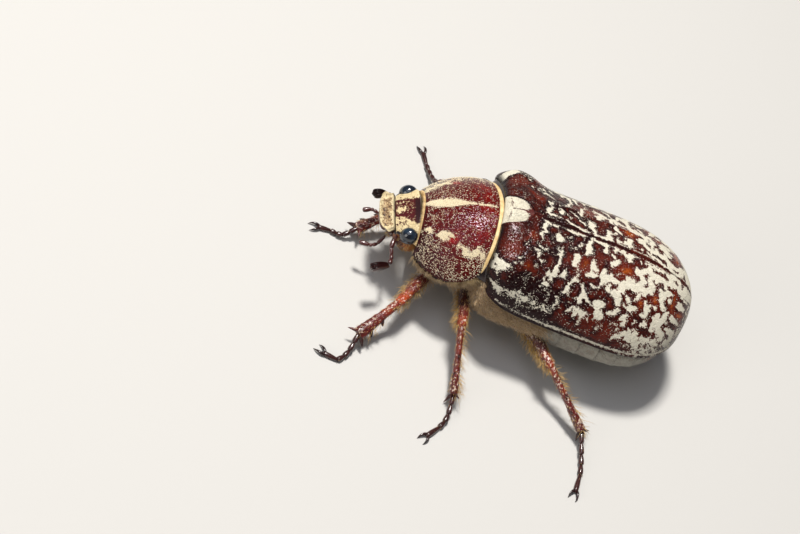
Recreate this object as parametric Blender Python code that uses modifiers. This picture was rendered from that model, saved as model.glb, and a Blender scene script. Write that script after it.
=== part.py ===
"""A pine chafer beetle, a female, as a still life-size model that stands on its six feet.

Sizes are written in millimetres in the body's own frame and turned to metres where a mesh is
made. +X runs to the tail, -Y is the beetle's left side, +Z is up, y = 0 is the middle plane of
the wing covers, and z = 0 is the ground under the feet. The head and the front of the thorax
are turned a little to the beetle's left, as in life.
"""
import bpy
import bmesh
import math
import numpy as np

MM = 0.001
GAP = 0.3
UP = np.array((0.0, 0.0, 1.0))

# Wing covers: plan outline, profile along the seam, and how round a section is
COVER_APEX_X = 19.2
COVER_HALF_WIDTH = 8.58
COVER_WIDEST_X = 7.4
COVER_FRONT_NARROWING = 0.05
COVER_BLUNTNESS = 3.43
COVER_TOP_Z = 14.14
COVER_TOP_FALLS_FROM_X = 4.9
COVER_PROFILE_POWERS = (3.2, 2.69)
COVER_MARGIN_Z = 7.7
COVER_SHOULDER_RISE = 1.05
COVER_SECTION = (2.05, 0.62)
COVER_THICK = 0.5
COVER_NECK_HALF_WIDTH = 6.9
COVER_NECK_TOP_Z = 12.95
COVER_NECK_LENGTH = 2.4
SEAM_HALF_GAP = 0.15
SHOULDER_BUMP = 0.7
SHOULDER_AT = (-2.5, 0.75)
SHOULDER_SPREAD = (2.2, 0.25)

# Shield over the front of the thorax, called the pronotum
SHIELD_FRONT_X = -11.9
SHIELD_BASE_X = -4.78
SHIELD_HALF_WIDTHS = (4.15, 6.65, 6.34)
SHIELD_TOP_Z = (9.85, 12.82)
SHIELD_CROWN = 0.46
SHIELD_MARGIN_Z = (6.82, 7.38, 9.05)
SHIELD_SECTION = (1.96, 0.72)
SHIELD_FRONT_CURVE = 0.2
SHIELD_BASE_CURVE = 0.49
SHIELD_EDGE = 0.45
SHIELD_TURN = math.radians(3.8)

# Small triangular plate between the wing covers, called the scutellum
SCUTELLUM_HALF_WIDTH = 1.85
SCUTELLUM_TIP_X = -1.5
SCUTELLUM_THICK = 0.55

# Underside of the body
STERNUM_Z = (4.6, 3.6)
STERNUM_LAG = 0.9
BELLY_Z = 2.35
FLANK_Z = 6.5
FLANK_INSET = 0.5
CORE_INSET = 0.95
CORE_NECK_TOP_Z = 11.5
CORE_NECK_SLOPE = 0.29
THORAX_FRONT_X = -4.4
THORAX_END_X = 4.0
ABDOMEN_END_X = 16.6
TAIL_X = 18.2

# Head, in its own frame: forward along the face, across, and up from the face
HEAD_ROOT = np.array((-11.98, -0.49, 9.61))
HEAD_PITCH = math.radians(37.6)
HEAD_TURN = math.radians(9.2)
CLYPEUS_SEAM = 3.17
CLYPEUS_FRONT = 4.7
CLYPEUS_HALF_WIDTH = 2.55
EYE_AT = (1.75, 2.8, -0.98)
EYE_RADII = (0.95, 0.80, 0.88)

# Legs: where each joint lies, for the left and the right leg of each pair
LEGS = {
    "fore_left": dict(coxa=(-7.7, -2.1, 4.1), knee=(-11.15, -9.15, 3.9), ankle=(-14.1, -12.95, 1.45),
                      foot=((-14.62, -15.0, 0.42), (-15.7, -16.1, 0.24), (-17.0, -15.75, 0.2)),
                      claws=(-0.80, 0.60)),
    "fore_right": dict(coxa=(-7.7, 2.1, 4.1), knee=(-12.5, 3.6, 3.2), ankle=(-16.45, 0.4, 1.5),
                       foot=((-17.75, -0.4, 0.5), (-19.05, -0.1, 0.24), (-20.3, -0.25, 0.2)),
                       claws=(-0.95, -0.30)),
    "mid_left": dict(coxa=(-4.1, -2.4, 3.5), knee=(-4.35, -9.9, 4.9), ankle=(-2.95, -16.0, 1.45),
                     foot=((-3.0, -18.6, 0.45), (-3.85, -20.1, 0.24), (-4.7, -21.15, 0.2)),
                     claws=(-0.55, -0.80)),
    "mid_right": dict(coxa=(-4.1, 2.4, 3.5), knee=(-2.9, 8.5, 5.2), ankle=(-8.5, 10.4, 1.6),
                      foot=((-9.35, 12.9, 0.45), (-9.9, 14.4, 0.24), (-10.3, 15.45, 0.2)),
                      claws=(-0.40, 0.92)),
    "hind_left": dict(coxa=(1.7, -3.0, 3.3), knee=(6.2, -10.5, 4.5), ankle=(11.6, -14.6, 1.45),
                      foot=((12.4, -18.2, 0.45), (12.45, -19.9, 0.24), (12.15, -21.4, 0.2)),
                      claws=(-0.25, -0.97)),
    "hind_right": dict(coxa=(1.7, 3.0, 3.3), knee=(6.4, 10.0, 4.6), ankle=(12.1, 12.5, 1.5),
                       foot=((14.5, 13.5, 0.45), (15.9, 14.4, 0.24), (17.0, 15.2, 0.2)),
                       claws=(0.80, 0.60)),
}
FEMUR_HALF = {"fore": (0.98, 0.65), "mid": (0.95, 0.65), "hind": (1.3, 0.75)}
TIBIA_HALF = {"fore": (0.56, 0.40), "mid": (0.50, 0.40), "hind": (0.54, 0.42)}
KNEE_CLEAR = (0.36, 0.4)
ANKLE_CLEAR = 0.5
FOOT_RADIUS = 0.28
CLAW_LENGTH = 1.05

COLOURS = {
    "shell": ((0.16, 0.025, 0.012), 0.28),
    "shield": ((0.17, 0.012, 0.012), 0.25),
    "scales": ((0.80, 0.72, 0.52), 0.75),
    "pile": ((0.48, 0.34, 0.19), 0.90),
    "belly": ((0.62, 0.57, 0.48), 0.85),
    "leg": ((0.24, 0.045, 0.03), 0.32),
    "foot": ((0.07, 0.02, 0.018), 0.30),
    "eye": ((0.012, 0.016, 0.026), 0.10),
    "feeler": ((0.13, 0.025, 0.018), 0.35),
}


def empty_scene():
    """Remove every object, so that the model starts from nothing."""
    for thing in list(bpy.data.objects):
        bpy.data.objects.remove(thing, do_unlink=True)


def unit(vector):
    """Return the vector at length one."""
    vector = np.asarray(vector, float)
    return vector / np.linalg.norm(vector)


def three_way(values, s):
    """Return a quadratic in s that takes three values at s = 0, 1/2 and 1."""
    start, middle, end = values
    return start * (1 - s) * (1 - 2 * s) + 4 * middle * s * (1 - s) + end * s * (2 * s - 1)


def smooth(pairs):
    """Return a smooth curve through (place, value) pairs, as a function of the place."""
    xs, ys = np.array(pairs, float).T
    slopes = np.diff(ys) / np.diff(xs)
    inner = np.where(slopes[1:] * slopes[:-1] > 0, (slopes[1:] + slopes[:-1]) / 2, 0.0)
    tangents = np.concatenate([slopes[:1], inner, slopes[-1:]])

    def value(x):
        x = np.clip(x, xs[0], xs[-1])
        i = np.clip(np.searchsorted(xs, x) - 1, 0, len(xs) - 2)
        step = xs[i + 1] - xs[i]
        t = (x - xs[i]) / step
        return ((1 + 2 * t) * (1 - t) ** 2 * ys[i] + t * (1 - t) ** 2 * step * tangents[i]
                + t * t * (3 - 2 * t) * ys[i + 1] - t * t * (1 - t) * step * tangents[i + 1])

    return value


def material(name):
    """Return the Principled material of that name, made once."""
    found = bpy.data.materials.get(name)
    if found:
        return found
    colour, roughness = COLOURS[name]
    made = bpy.data.materials.new(name)
    made.use_nodes = True
    shader = made.node_tree.nodes["Principled BSDF"]
    shader.inputs["Base Color"].default_value = (*colour, 1.0)
    shader.inputs["Roughness"].default_value = roughness
    shader.inputs["Metallic"].default_value = 0.0
    made.diffuse_color = (*colour, 1.0)
    return made


def make_object(name, points, faces, colour, collection):
    """Make one mesh object from points in millimetres and faces, with its faces pointing out."""
    mesh = bpy.data.meshes.new(name)
    mesh.from_pydata((np.asarray(points) * MM).tolist(), [], faces)
    work = bmesh.new()
    work.from_mesh(mesh)
    bmesh.ops.recalc_face_normals(work, faces=work.faces)
    if work.calc_volume(signed=True) < 0:
        bmesh.ops.reverse_faces(work, faces=work.faces)
    work.to_mesh(mesh)
    work.free()
    mesh.shade_smooth()
    mesh.set_sharp_from_angle(angle=math.radians(40))
    mesh.materials.append(material(colour))
    made = bpy.data.objects.new(name, mesh)
    collection.objects.link(made)
    return made


def loft(name, rings, colour, collection):
    """Skin a stack of closed rings of equal count and close both ends with a fan."""
    rings = np.asarray(rings, float)
    count, around = rings.shape[:2]
    points = rings.reshape(-1, 3).tolist()
    faces = []
    for i in range(count - 1):
        for j in range(around):
            k = (j + 1) % around
            faces.append((i * around + j, i * around + k, (i + 1) * around + k, (i + 1) * around + j))
    for row in (0, count - 1):
        centre = len(points)
        points.append(rings[row].mean(axis=0).tolist())
        for j in range(around):
            faces.append((row * around + j, row * around + (j + 1) % around, centre))
    return make_object(name, points, faces, colour, collection)


def tube_rings(path, across, halves, sides, ridges=0, ridge_depth=0.0):
    """Return elliptic rings along a path; across is the direction of the wide half."""
    path = np.asarray(path, float)
    halves = np.asarray(halves, float)
    tangents = np.gradient(path, axis=0)
    angles = np.arange(sides) * 2 * np.pi / sides
    swell = 1 + ridge_depth * np.cos(ridges * angles)
    rings = []
    for place, tangent, half in zip(path, tangents, halves):
        tangent = unit(tangent)
        wide = unit(np.asarray(across) - tangent * np.dot(across, tangent))
        thin = np.cross(tangent, wide)
        rings.append(place + np.outer(np.cos(angles) * half[0] * swell, wide)
                     + np.outer(np.sin(angles) * half[1] * swell, thin))
    return np.array(rings)


def rounded(shares, start=0.08, end=0.08):
    """Return how a limb's thickness closes to a dome at each end, for shares from 0 to 1."""
    opening = np.clip(shares / start, 0, 1)
    closing = np.clip((1 - shares) / end, 0, 1)
    return np.sqrt(1 - (1 - opening) ** 2) * np.sqrt(1 - (1 - closing) ** 2) * 0.92 + 0.08


def limb(name, ends, across, widths, depths, colour, collection, stations=8, sides=8, bow=0.0,
         round_ends=(0.1, 0.1)):
    """Make a tapered round-ended limb between two places, bowed sideways by a length."""
    start, end = np.asarray(ends[0], float), np.asarray(ends[1], float)
    shares = 0.5 - 0.5 * np.cos(np.linspace(0, np.pi, stations))
    path = start + np.outer(shares, end - start)
    path += np.outer(np.sin(shares * np.pi) * bow, unit(across))
    closing = rounded(shares, *round_ends)
    halves = np.stack([smooth(widths)(shares) * closing, smooth(depths)(shares) * closing], axis=1)
    return loft(name, tube_rings(path, across, halves, sides), colour, collection)


def spine(name, root, tip, radius, colour, collection, sides=5):
    """Make a pointed spine whose blunt end is at its root."""
    root, tip = np.asarray(root, float), np.asarray(tip, float)
    along = unit(tip - root)
    across = unit(np.cross(along, UP + np.array((0.3, 0.1, 0.0))))
    path = root + np.outer((0.0, 1.0), tip - root)
    halves = np.outer((radius, radius * 0.2), (1, 1))
    return loft(name, tube_rings(path, across, halves, sides), colour, collection)


def largest_surface(thing):
    """Keep only the largest closed surface of an object's mesh."""
    work = bmesh.new()
    work.from_mesh(thing.data)
    bmesh.ops.remove_doubles(work, verts=work.verts, dist=0.002 * MM)
    seen, best = set(), []
    for first in work.verts:
        if first in seen:
            continue
        group, stack = [], [first]
        seen.add(first)
        while stack:
            vert = stack.pop()
            group.append(vert)
            for edge in vert.link_edges:
                other = edge.other_vert(vert)
                if other not in seen:
                    seen.add(other)
                    stack.append(other)
        if len(group) > len(best):
            best = group
    kept = set(best)
    bmesh.ops.delete(work, geom=[v for v in work.verts if v not in kept], context="VERTS")
    work.to_mesh(thing.data)
    work.free()


def apply_boolean(thing, operation, operands):
    """Apply one Boolean of an object with a list of closed objects, then remove them."""
    if not operands:
        return thing
    group = bpy.data.collections.new("operands")
    bpy.context.scene.collection.children.link(group)
    for operand in operands:
        for holder in list(operand.users_collection):
            holder.objects.unlink(operand)
        group.objects.link(operand)
    boolean = thing.modifiers.new("joined", "BOOLEAN")
    boolean.operation = operation
    boolean.operand_type = "COLLECTION"
    boolean.collection = group
    boolean.solver = "EXACT"
    bpy.context.view_layer.update()
    evaluated = thing.evaluated_get(bpy.context.evaluated_depsgraph_get())
    result = bpy.data.meshes.new_from_object(evaluated)
    thing.modifiers.clear()
    old = thing.data
    thing.data = result
    result.name = thing.name
    bpy.data.meshes.remove(old)
    for operand in list(group.objects):
        bpy.data.objects.remove(operand, do_unlink=True)
    bpy.data.collections.remove(group)
    largest_surface(thing)
    return thing


def turned(points, angle, about):
    """Turn points about the upright line through a place."""
    points = np.asarray(points, float)
    x, y = points[..., 0] - about[0], points[..., 1] - about[1]
    return np.stack([about[0] + x * math.cos(angle) - y * math.sin(angle),
                     about[1] + x * math.sin(angle) + y * math.cos(angle), points[..., 2]], axis=-1)


def shield_top(s, e):
    """Return the shield's upper surface at s from front to base and e from left to right."""
    width = three_way(SHIELD_HALF_WIDTHS, s)
    front = SHIELD_FRONT_X + SHIELD_FRONT_CURVE * e ** 2
    base = SHIELD_BASE_X - SHIELD_BASE_CURVE * e ** 2
    crown = SHIELD_TOP_Z[0] * (1 - s) + SHIELD_TOP_Z[1] * s + 4 * SHIELD_CROWN * s * (1 - s)
    margin = three_way(SHIELD_MARGIN_Z, s)
    arch = np.clip(1 - np.abs(e) ** SHIELD_SECTION[0], 0, 1) ** SHIELD_SECTION[1]
    flat = np.stack([front * (1 - s) + base * s, width * e, margin + (crown - margin) * arch], axis=-1)
    return turned(flat, SHIELD_TURN, (SHIELD_BASE_X, 0.0))


def shield_base_x(y):
    """Return where the shield's base edge lies in x at a place across the body."""
    across = np.clip(y / SHIELD_HALF_WIDTHS[2], -1.3, 1.3)
    return SHIELD_BASE_X - SHIELD_BASE_CURVE * across ** 2 - y * math.tan(SHIELD_TURN)


def cover_width(x, inset=0.0):
    """Return half the width across the wing covers at x."""
    reach = COVER_APEX_X - inset - COVER_WIDEST_X
    past = np.clip((x - COVER_WIDEST_X) / reach, 0, 1)
    before = np.clip((COVER_WIDEST_X - x) / (COVER_WIDEST_X - SHIELD_BASE_X), 0, None)
    width = (COVER_HALF_WIDTH - inset) * (1 - COVER_FRONT_NARROWING * before ** 2)
    return width * np.sqrt(np.clip(1 - past ** COVER_BLUNTNESS, 0, 1))


def cover_margin_z(x):
    """Return the height of the wing covers' outer edge at x."""
    return COVER_MARGIN_Z + COVER_SHOULDER_RISE * np.clip((1.0 - x) / 5.8, 0, None) ** 2


def cover_top_z(x, inset=0.0):
    """Return the height of the wing covers along the seam at x."""
    past = np.clip((x - COVER_TOP_FALLS_FROM_X) / (COVER_APEX_X - inset - COVER_TOP_FALLS_FROM_X), 0, 1)
    fall = (1 - past ** COVER_PROFILE_POWERS[0]) ** (1 / COVER_PROFILE_POWERS[1])
    low = cover_margin_z(x)
    return low + (COVER_TOP_Z - inset - low) * fall


def arch_of(e):
    """Return the height share of the wing covers' section at e from the seam to the edge."""
    return np.clip(1 - np.abs(e) ** COVER_SECTION[0], 0, 1) ** COVER_SECTION[1]


def scutellum_half_width(x):
    """Return half the width of the scutellum at x, nought behind its tip."""
    share = np.clip((x - SHIELD_BASE_X) / (SCUTELLUM_TIP_X - SHIELD_BASE_X), 0, 1)
    return SCUTELLUM_HALF_WIDTH * np.sqrt(1 - share ** 2.4)


def cover_place(x, e, side):
    """Return a place on a wing cover's outer surface at x and at e across, for side -1 or 1."""
    start = shield_base_x(side * COVER_NECK_HALF_WIDTH * e) + GAP
    roll = np.clip((x - start) / COVER_NECK_LENGTH, 0, 1)
    roll = np.sqrt(1 - (1 - roll) ** 2)
    width = COVER_NECK_HALF_WIDTH + (cover_width(x) - COVER_NECK_HALF_WIDTH) * roll
    top = COVER_NECK_TOP_Z + (cover_top_z(x) - COVER_NECK_TOP_Z) * roll
    width = np.where(x > 0, cover_width(x), width)
    low = cover_margin_z(x)
    tip = np.clip((x - 17.2) / 2.0, 0, 1)
    inner = SEAM_HALF_GAP + 0.25 * tip ** 3
    behind_plate = scutellum_half_width(x)
    inner = np.where(behind_plate > 0.02, np.maximum(behind_plate + 0.25, inner), inner)
    y = inner + (width - inner) * e
    z = low + (top - low) * arch_of(y / width)
    ahead, out = (x - SHOULDER_AT[0]) / SHOULDER_SPREAD[0], (e - SHOULDER_AT[1]) / SHOULDER_SPREAD[1]
    bump = SHOULDER_BUMP * np.exp(-ahead ** 2 - out ** 2)
    return np.stack([x, side * (y + bump * 0.5), z + bump * roll], axis=-1)


def wing_cover(name, side, collection):
    """Make one wing cover as a thin shell over its outer surface."""
    along, across = 22, 12
    u = np.linspace(0, 1, along)[:, None]
    e = np.sin(np.linspace(0, 1, across) * np.pi / 2)[None]
    eased = u - 0.72 * np.sin(2 * np.pi * u) / (2 * np.pi)
    start = shield_base_x(side * COVER_NECK_HALF_WIDTH * e) + GAP
    x = start + (COVER_APEX_X - 0.03 - start) * eased
    grid = cover_place(x, np.broadcast_to(e, x.shape), side)
    points = grid.reshape(-1, 3)
    faces = []
    for i in range(along - 1):
        for j in range(across - 1):
            a = i * across + j
            quad = (a, a + 1, a + across + 1, a + across)
            faces.append(quad if side > 0 else quad[::-1])
    mesh = bpy.data.meshes.new(name)
    mesh.from_pydata((points * MM).tolist(), [], faces)
    work = bmesh.new()
    work.from_mesh(mesh)
    bmesh.ops.triangulate(work, faces=work.faces)
    work.to_mesh(mesh)
    work.free()
    mesh.shade_smooth()
    mesh.materials.append(material("shell"))
    made = bpy.data.objects.new(name, mesh)
    collection.objects.link(made)
    wall = made.modifiers.new("wall", "SOLIDIFY")
    wall.thickness = COVER_THICK * MM
    wall.offset = 1.0 if mesh.polygons[len(mesh.polygons) // 2].normal.z < 0 else -1.0
    return made


def core_ring(x):
    """Return one ring of the body under the wing covers: its back, flanks and belly."""
    width = cover_width(x, CORE_INSET)
    top = cover_top_z(x, CORE_INSET) - 0.1
    low = cover_margin_z(x) - 0.35
    neck = np.clip((x - SHIELD_BASE_X - 0.3) / 2.6, 0, 1)
    neck = math.sqrt(1 - (1 - neck) ** 2)
    width = 5.7 + (width - 5.7) * neck if x < 0 else width
    top = min(top, CORE_NECK_TOP_Z + CORE_NECK_SLOPE * (x - SHIELD_BASE_X))
    flank = min(cover_width(x) - FLANK_INSET, 5.9 + (cover_width(x) - FLANK_INSET - 5.9) * neck)
    flank = max(flank, width * 1.01)
    tail = np.clip((x - 11.0) / (TAIL_X + 0.15 - 11.0), 0, 1)
    belly = BELLY_Z + 0.9 * (1 - neck) + (FLANK_Z - BELLY_Z) * (1 - (1 - tail ** 4.2) ** 0.6)
    power = 2.2 if x < THORAX_END_X else 2.8
    turns = np.linspace(0, np.pi / 2, 7)
    under = [(flank * math.sin(a) ** (2 / power), FLANK_Z - (FLANK_Z - belly) * math.cos(a) ** (2 / power))
             for a in turns]
    side = [(flank + (width - flank) * 0.5, FLANK_Z + (low - FLANK_Z) * 0.6)]
    over = [(width * math.cos(a), low + (top - low) * float(arch_of(math.cos(a)))) for a in turns]
    half = under + side + over
    ring = np.array([(x, -y, z) for y, z in half] + [(x, y, z) for y, z in half[-2:0:-1]])
    ring[:, 0] -= ring[:, 1] * math.tan(SHIELD_TURN) * np.clip(x / THORAX_FRONT_X, 0, 1)
    return ring


def body_core(name, xs, colour, collection):
    """Make a length of the body under the wing covers through rings at the given places."""
    return loft(name, [core_ring(float(x)) for x in xs], colour, collection)


def shield(collection):
    """Make the shield over the front of the thorax as a domed solid with a thin edge."""
    e = np.sin(np.linspace(-np.pi / 2, np.pi / 2, 25))
    inner = np.linspace(0.9, -0.9, 7)
    rings = []
    for s in 0.5 - 0.5 * np.cos(np.linspace(0, np.pi, 13)):
        top = shield_top(s, e)
        under = shield_top(s, inner)
        edge_z = three_way(SHIELD_MARGIN_Z, s)
        under[:, 2] = edge_z - SHIELD_EDGE
        rings.append(np.concatenate([top, under]))
    made = loft("pronotum", rings, "shield", collection)
    return apply_boolean(made, "DIFFERENCE", [eye("socket", side, GAP, collection) for side in (-1, 1)])


def prosternum(collection):
    """Make the underside of the front of the thorax, a keel-shaped block under the shield."""
    rings = []
    turns = np.linspace(0, np.pi, 13)
    for s in np.linspace(0.06, 1.08, 9):
        edge = shield_top(s, np.array((-1.0, 1.0)))
        centre = edge.mean(axis=0)
        half = (edge[1] - edge[0]) / 2 * 0.9
        top = three_way(SHIELD_MARGIN_Z, s * STERNUM_LAG) - SHIELD_EDGE - GAP
        depth = top - STERNUM_Z[0] - (STERNUM_Z[1] - STERNUM_Z[0]) * s
        ring = [centre + half * -math.cos(a) - UP * (centre[2] - top + depth * math.sin(a) ** 0.8)
                for a in turns]
        ring += [centre + half * share - UP * (centre[2] - top) for share in (0.6, 0.2, -0.2, -0.6)]
        rings.append(ring)
    return loft("prosternum", rings, "pile", collection)


def scutellum(collection):
    """Make the small plate between the wing covers, set a little below them."""
    rings = []
    for share in (0.0, 0.2, 0.4, 0.6, 0.78, 0.9, 0.97):
        start = SHIELD_BASE_X + GAP + 0.06
        x = start + (SCUTELLUM_TIP_X - start) * share
        half = float(scutellum_half_width(x))
        rise = COVER_NECK_TOP_Z - 0.15 + 0.95 * share
        top = [(x, half * c, rise - 0.3 * c * c) for c in (-1, -0.6, -0.2, 0.2, 0.6, 1)]
        low = [(x, half * c, rise - 0.3 * c * c - SCUTELLUM_THICK) for c in (0.92, 0.3, -0.3, -0.92)]
        rings.append(top + low)
    return loft("scutellum", rings, "scales", collection)


def on_head(forward, across, up):
    """Return a place given in the head's own frame."""
    forward, across, up = (np.asarray(v, float) for v in (forward, across, up))
    x = -(forward * math.cos(HEAD_PITCH) + up * math.sin(HEAD_PITCH))
    z = -forward * math.sin(HEAD_PITCH) + up * math.cos(HEAD_PITCH)
    c, s = math.cos(HEAD_TURN), math.sin(HEAD_TURN)
    x, y, z = np.broadcast_arrays(x * c - across * s, x * s + across * c, z)
    return HEAD_ROOT + np.stack([x, y, z], axis=-1)


def head_ring(forward, half, rise, depth, lean, power=2.3, count=20):
    """Return a ring of the head, which leans towards upright as its lean goes to 1."""
    angles = np.arange(count) * 2 * np.pi / count
    across = np.sign(np.cos(angles)) * np.abs(np.cos(angles)) ** (2 / power) * half
    sines = np.sign(np.sin(angles)) * np.abs(np.sin(angles)) ** (2 / power)
    up = np.where(sines > 0, sines * rise, sines * (depth - rise)) - rise
    return on_head(forward - lean * math.tan(HEAD_PITCH) * up, across, up)


def head(collection):
    """Make the head from the collar to the seam in front of the brow, with its eye sockets."""
    rows = ((0.47, 2.95, 1.0, 2.73, 0.92), (0.95, 3.0, 1.05, 2.8, 0.8), (1.7, 2.95, 1.0, 2.8, 0.58),
            (2.3, 2.75, 0.9, 2.6, 0.42), (2.7, 2.55, 0.8, 2.3, 0.32),
            (CLYPEUS_SEAM - 0.15, 2.4, 0.7, 1.9, 0.2))
    rings = [head_ring(*row) for row in rows]
    made = loft("head", rings, "shield", collection)
    sockets = [eye("socket", side, GAP, collection) for side in (-1, 1)]
    return apply_boolean(made, "DIFFERENCE", sockets)


def eye(name, side, grow, collection):
    """Make one bulging eye, or the hollow for it when it is grown."""
    around, rows = 14, 9
    forward, across, up = EYE_AT
    rings = []
    for a in np.linspace(0.12, np.pi - 0.12, rows):
        angles = np.arange(around) * 2 * np.pi / around
        f = forward + (EYE_RADII[0] + grow) * math.sin(a) * np.cos(angles)
        u = up + (EYE_RADII[2] + grow) * math.sin(a) * np.sin(angles)
        y = side * (across - (EYE_RADII[1] + grow) * math.cos(a))
        rings.append(on_head(f, y, u))
    return loft(name, rings, "eye", collection)


def clypeus(collection):
    """Make the plate over the mouth, with its front edge turned up."""
    rows = ((CLYPEUS_SEAM + 0.15, 2.34, 0.35), (3.6, 2.36, 0.36), (4.1, 2.47, 0.38),
            (4.45, CLYPEUS_HALF_WIDTH, 0.42), (CLYPEUS_FRONT - 0.04, 2.42, 0.36))
    c = np.linspace(-1, 1, 13)
    rings = []
    for forward, half, thick in rows:
        lift = 0.42 * np.clip((forward - 4.05) / 0.6, 0, 1) ** 2
        edge = 0.25 * np.clip((np.abs(c) - 0.8) / 0.2, 0, 1)
        front = forward - 0.3 * np.abs(c) ** 5 * np.clip((forward - 4.2) / 0.5, 0, 1)
        top = on_head(front, half * c, lift + edge * 0.6)
        low = on_head(front[::-2], half * c[::-2] * 0.97, (lift + edge * 0.6)[::-2] - thick - 0.2)
        rings.append(np.concatenate([top, low]))
    return loft("clypeus", rings, "scales", collection)


def mouth(collection):
    """Make the mouthparts, a rounded block of jaws under the plate."""
    rows = ((3.64, 1.4, 0.45), (3.82, 1.8, 0.72), (4.15, 1.72, 0.7), (4.42, 1.35, 0.5), (4.62, 0.85, 0.28))
    angles = np.arange(12) * 2 * np.pi / 12
    rings = [on_head(f, half * np.cos(angles), -1.64 + deep * np.sin(angles)) for f, half, deep in rows]
    return loft("mouthparts", rings, "feeler", collection)


def beaded(name, path, radii, across, colour, collection, flatten=1.0, per_bead=3, sides=7, waist=0.75):
    """Make a feeler or foot of beads: a bead between each two places of a path."""
    path = np.asarray(path, float)
    places, halves = [], []
    for i in range(len(path) - 1):
        for k in range(per_bead):
            share = k / per_bead
            bulge = waist + (1 - waist) * math.sin(math.pi * (share * 0.92 + 0.04)) ** 0.6
            places.append(path[i] + (path[i + 1] - path[i]) * share)
            radius = radii[i] * bulge
            halves.append((radius, radius * flatten))
    places.append(path[-1])
    halves.append((radii[-1] * 0.7, radii[-1] * 0.7 * flatten))
    return loft(name, tube_rings(places, across, halves, sides), colour, collection)


def feelers(collection):
    """Make each feeler: a beaded stalk and the small closed club of a female."""
    stalks = {
        "left": ((-13.5, -3.05, 6.13), (-13.55, -4.1, 5.75), (-13.3, -4.7, 5.45), (-13.2, -5.2, 5.3),
                 (-13.25, -5.75, 5.2)),
        "right": ((-14.0, 1.67, 6.07), (-14.35, 2.1, 6.0), (-14.55, 2.3, 6.05), (-14.75, 2.4, 6.1),
                  (-14.98, 2.4, 6.12)),
    }
    clubs = {"left": ((-13.35, -6.15, 5.15), (-15.15, -7.15, 5.1)),
             "right": ((-15.3, 2.3, 6.12), (-16.75, 1.75, 6.05))}
    for side, path in stalks.items():
        beaded("antenna_stalk_" + side, path, (0.27, 0.25, 0.25, 0.3), UP, "feeler", collection)
        start, end = (np.array(p) for p in clubs[side])
        shares = np.array((0.0, 0.06, 0.2, 0.45, 0.7, 0.9, 1.0))
        closing = np.array((0.35, 0.6, 0.85, 1.0, 0.98, 0.72, 0.3))
        halves = np.outer(closing, (0.48, 0.36))
        rings = tube_rings(start + np.outer(shares, end - start), UP, halves, 20, 5, 0.05)
        loft("antenna_club_" + side, rings, "feeler", collection)


def palps(collection):
    """Make the two long jaw feelers, each ending in a swollen joint."""
    paths = {
        "left": ((-14.15, -2.05, 4.85), (-14.6, -2.75, 4.05), (-15.05, -3.1, 3.95), (-15.4, -3.15, 3.85),
                 (-16.45, -3.05, 3.6)),
        "right": ((-14.72, 0.23, 4.95), (-15.35, 0.75, 4.6), (-15.8, 0.95, 4.6), (-16.1, 1.0, 4.5),
                  (-16.9, 0.75, 4.2)),
    }
    for side, path in paths.items():
        beaded("palp_" + side, path, (0.25, 0.25, 0.25, 0.32), UP, "feeler", collection)


def bend_axis(leg):
    """Return the direction across the plane in which a leg bends."""
    thigh = np.subtract(leg["knee"], leg["coxa"])
    shin = np.subtract(leg["ankle"], leg["knee"])
    normal = np.cross(unit(thigh), unit(shin))
    return unit(normal + 1e-6 * UP)


def across_in_plane(axis, along):
    """Return the direction in the leg's bending plane that lies across a length of it."""
    across = np.cross(axis, unit(along))
    return unit(across)


def shifted(place, towards, distance):
    """Return the place moved towards another by a distance."""
    place = np.asarray(place, float)
    return place + unit(np.subtract(towards, place)) * distance


def coxa(name, leg, grow, collection):
    """Make the hip of a leg, a short spindle set in the breast, or the hollow for it."""
    side = math.copysign(1.0, leg["coxa"][1])
    inner = np.array(leg["coxa"]) + (0.15, -side * 1.35, 0.45)
    outer = shifted(leg["coxa"], leg["knee"], 0.75)
    half = 0.95 + grow
    reach = unit(outer - inner) * grow
    wide = ((0, half * 0.75), (0.45, half), (1, half * 0.72))
    return limb(name, (inner - reach, outer + reach), UP, wide, wide, "pile", collection,
                stations=6, sides=7, round_ends=(0.25, 0.2))


def femur(name, kind, leg, grow, collection):
    """Make the thigh of a leg, deepest in its middle, or the hollow for it."""
    axis = bend_axis(leg)
    start = shifted(leg["coxa"], leg["knee"], 0.75 + GAP)
    end = np.array(leg["knee"])
    deep, thin = FEMUR_HALF[kind]
    widths = ((0, deep * 0.6 + grow), (0.3, deep + grow), (0.6, deep * 0.9 + grow), (1, 0.56 + grow))
    depths = ((0, thin * 0.8 + grow), (0.35, thin + grow), (1, 0.5 + grow))
    reach = unit(end - start) * grow
    return limb(name, (start - reach, end + reach), across_in_plane(axis, end - start), widths, depths,
                "leg", collection, stations=9, sides=8, round_ends=(0.1, 0.06))


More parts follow.
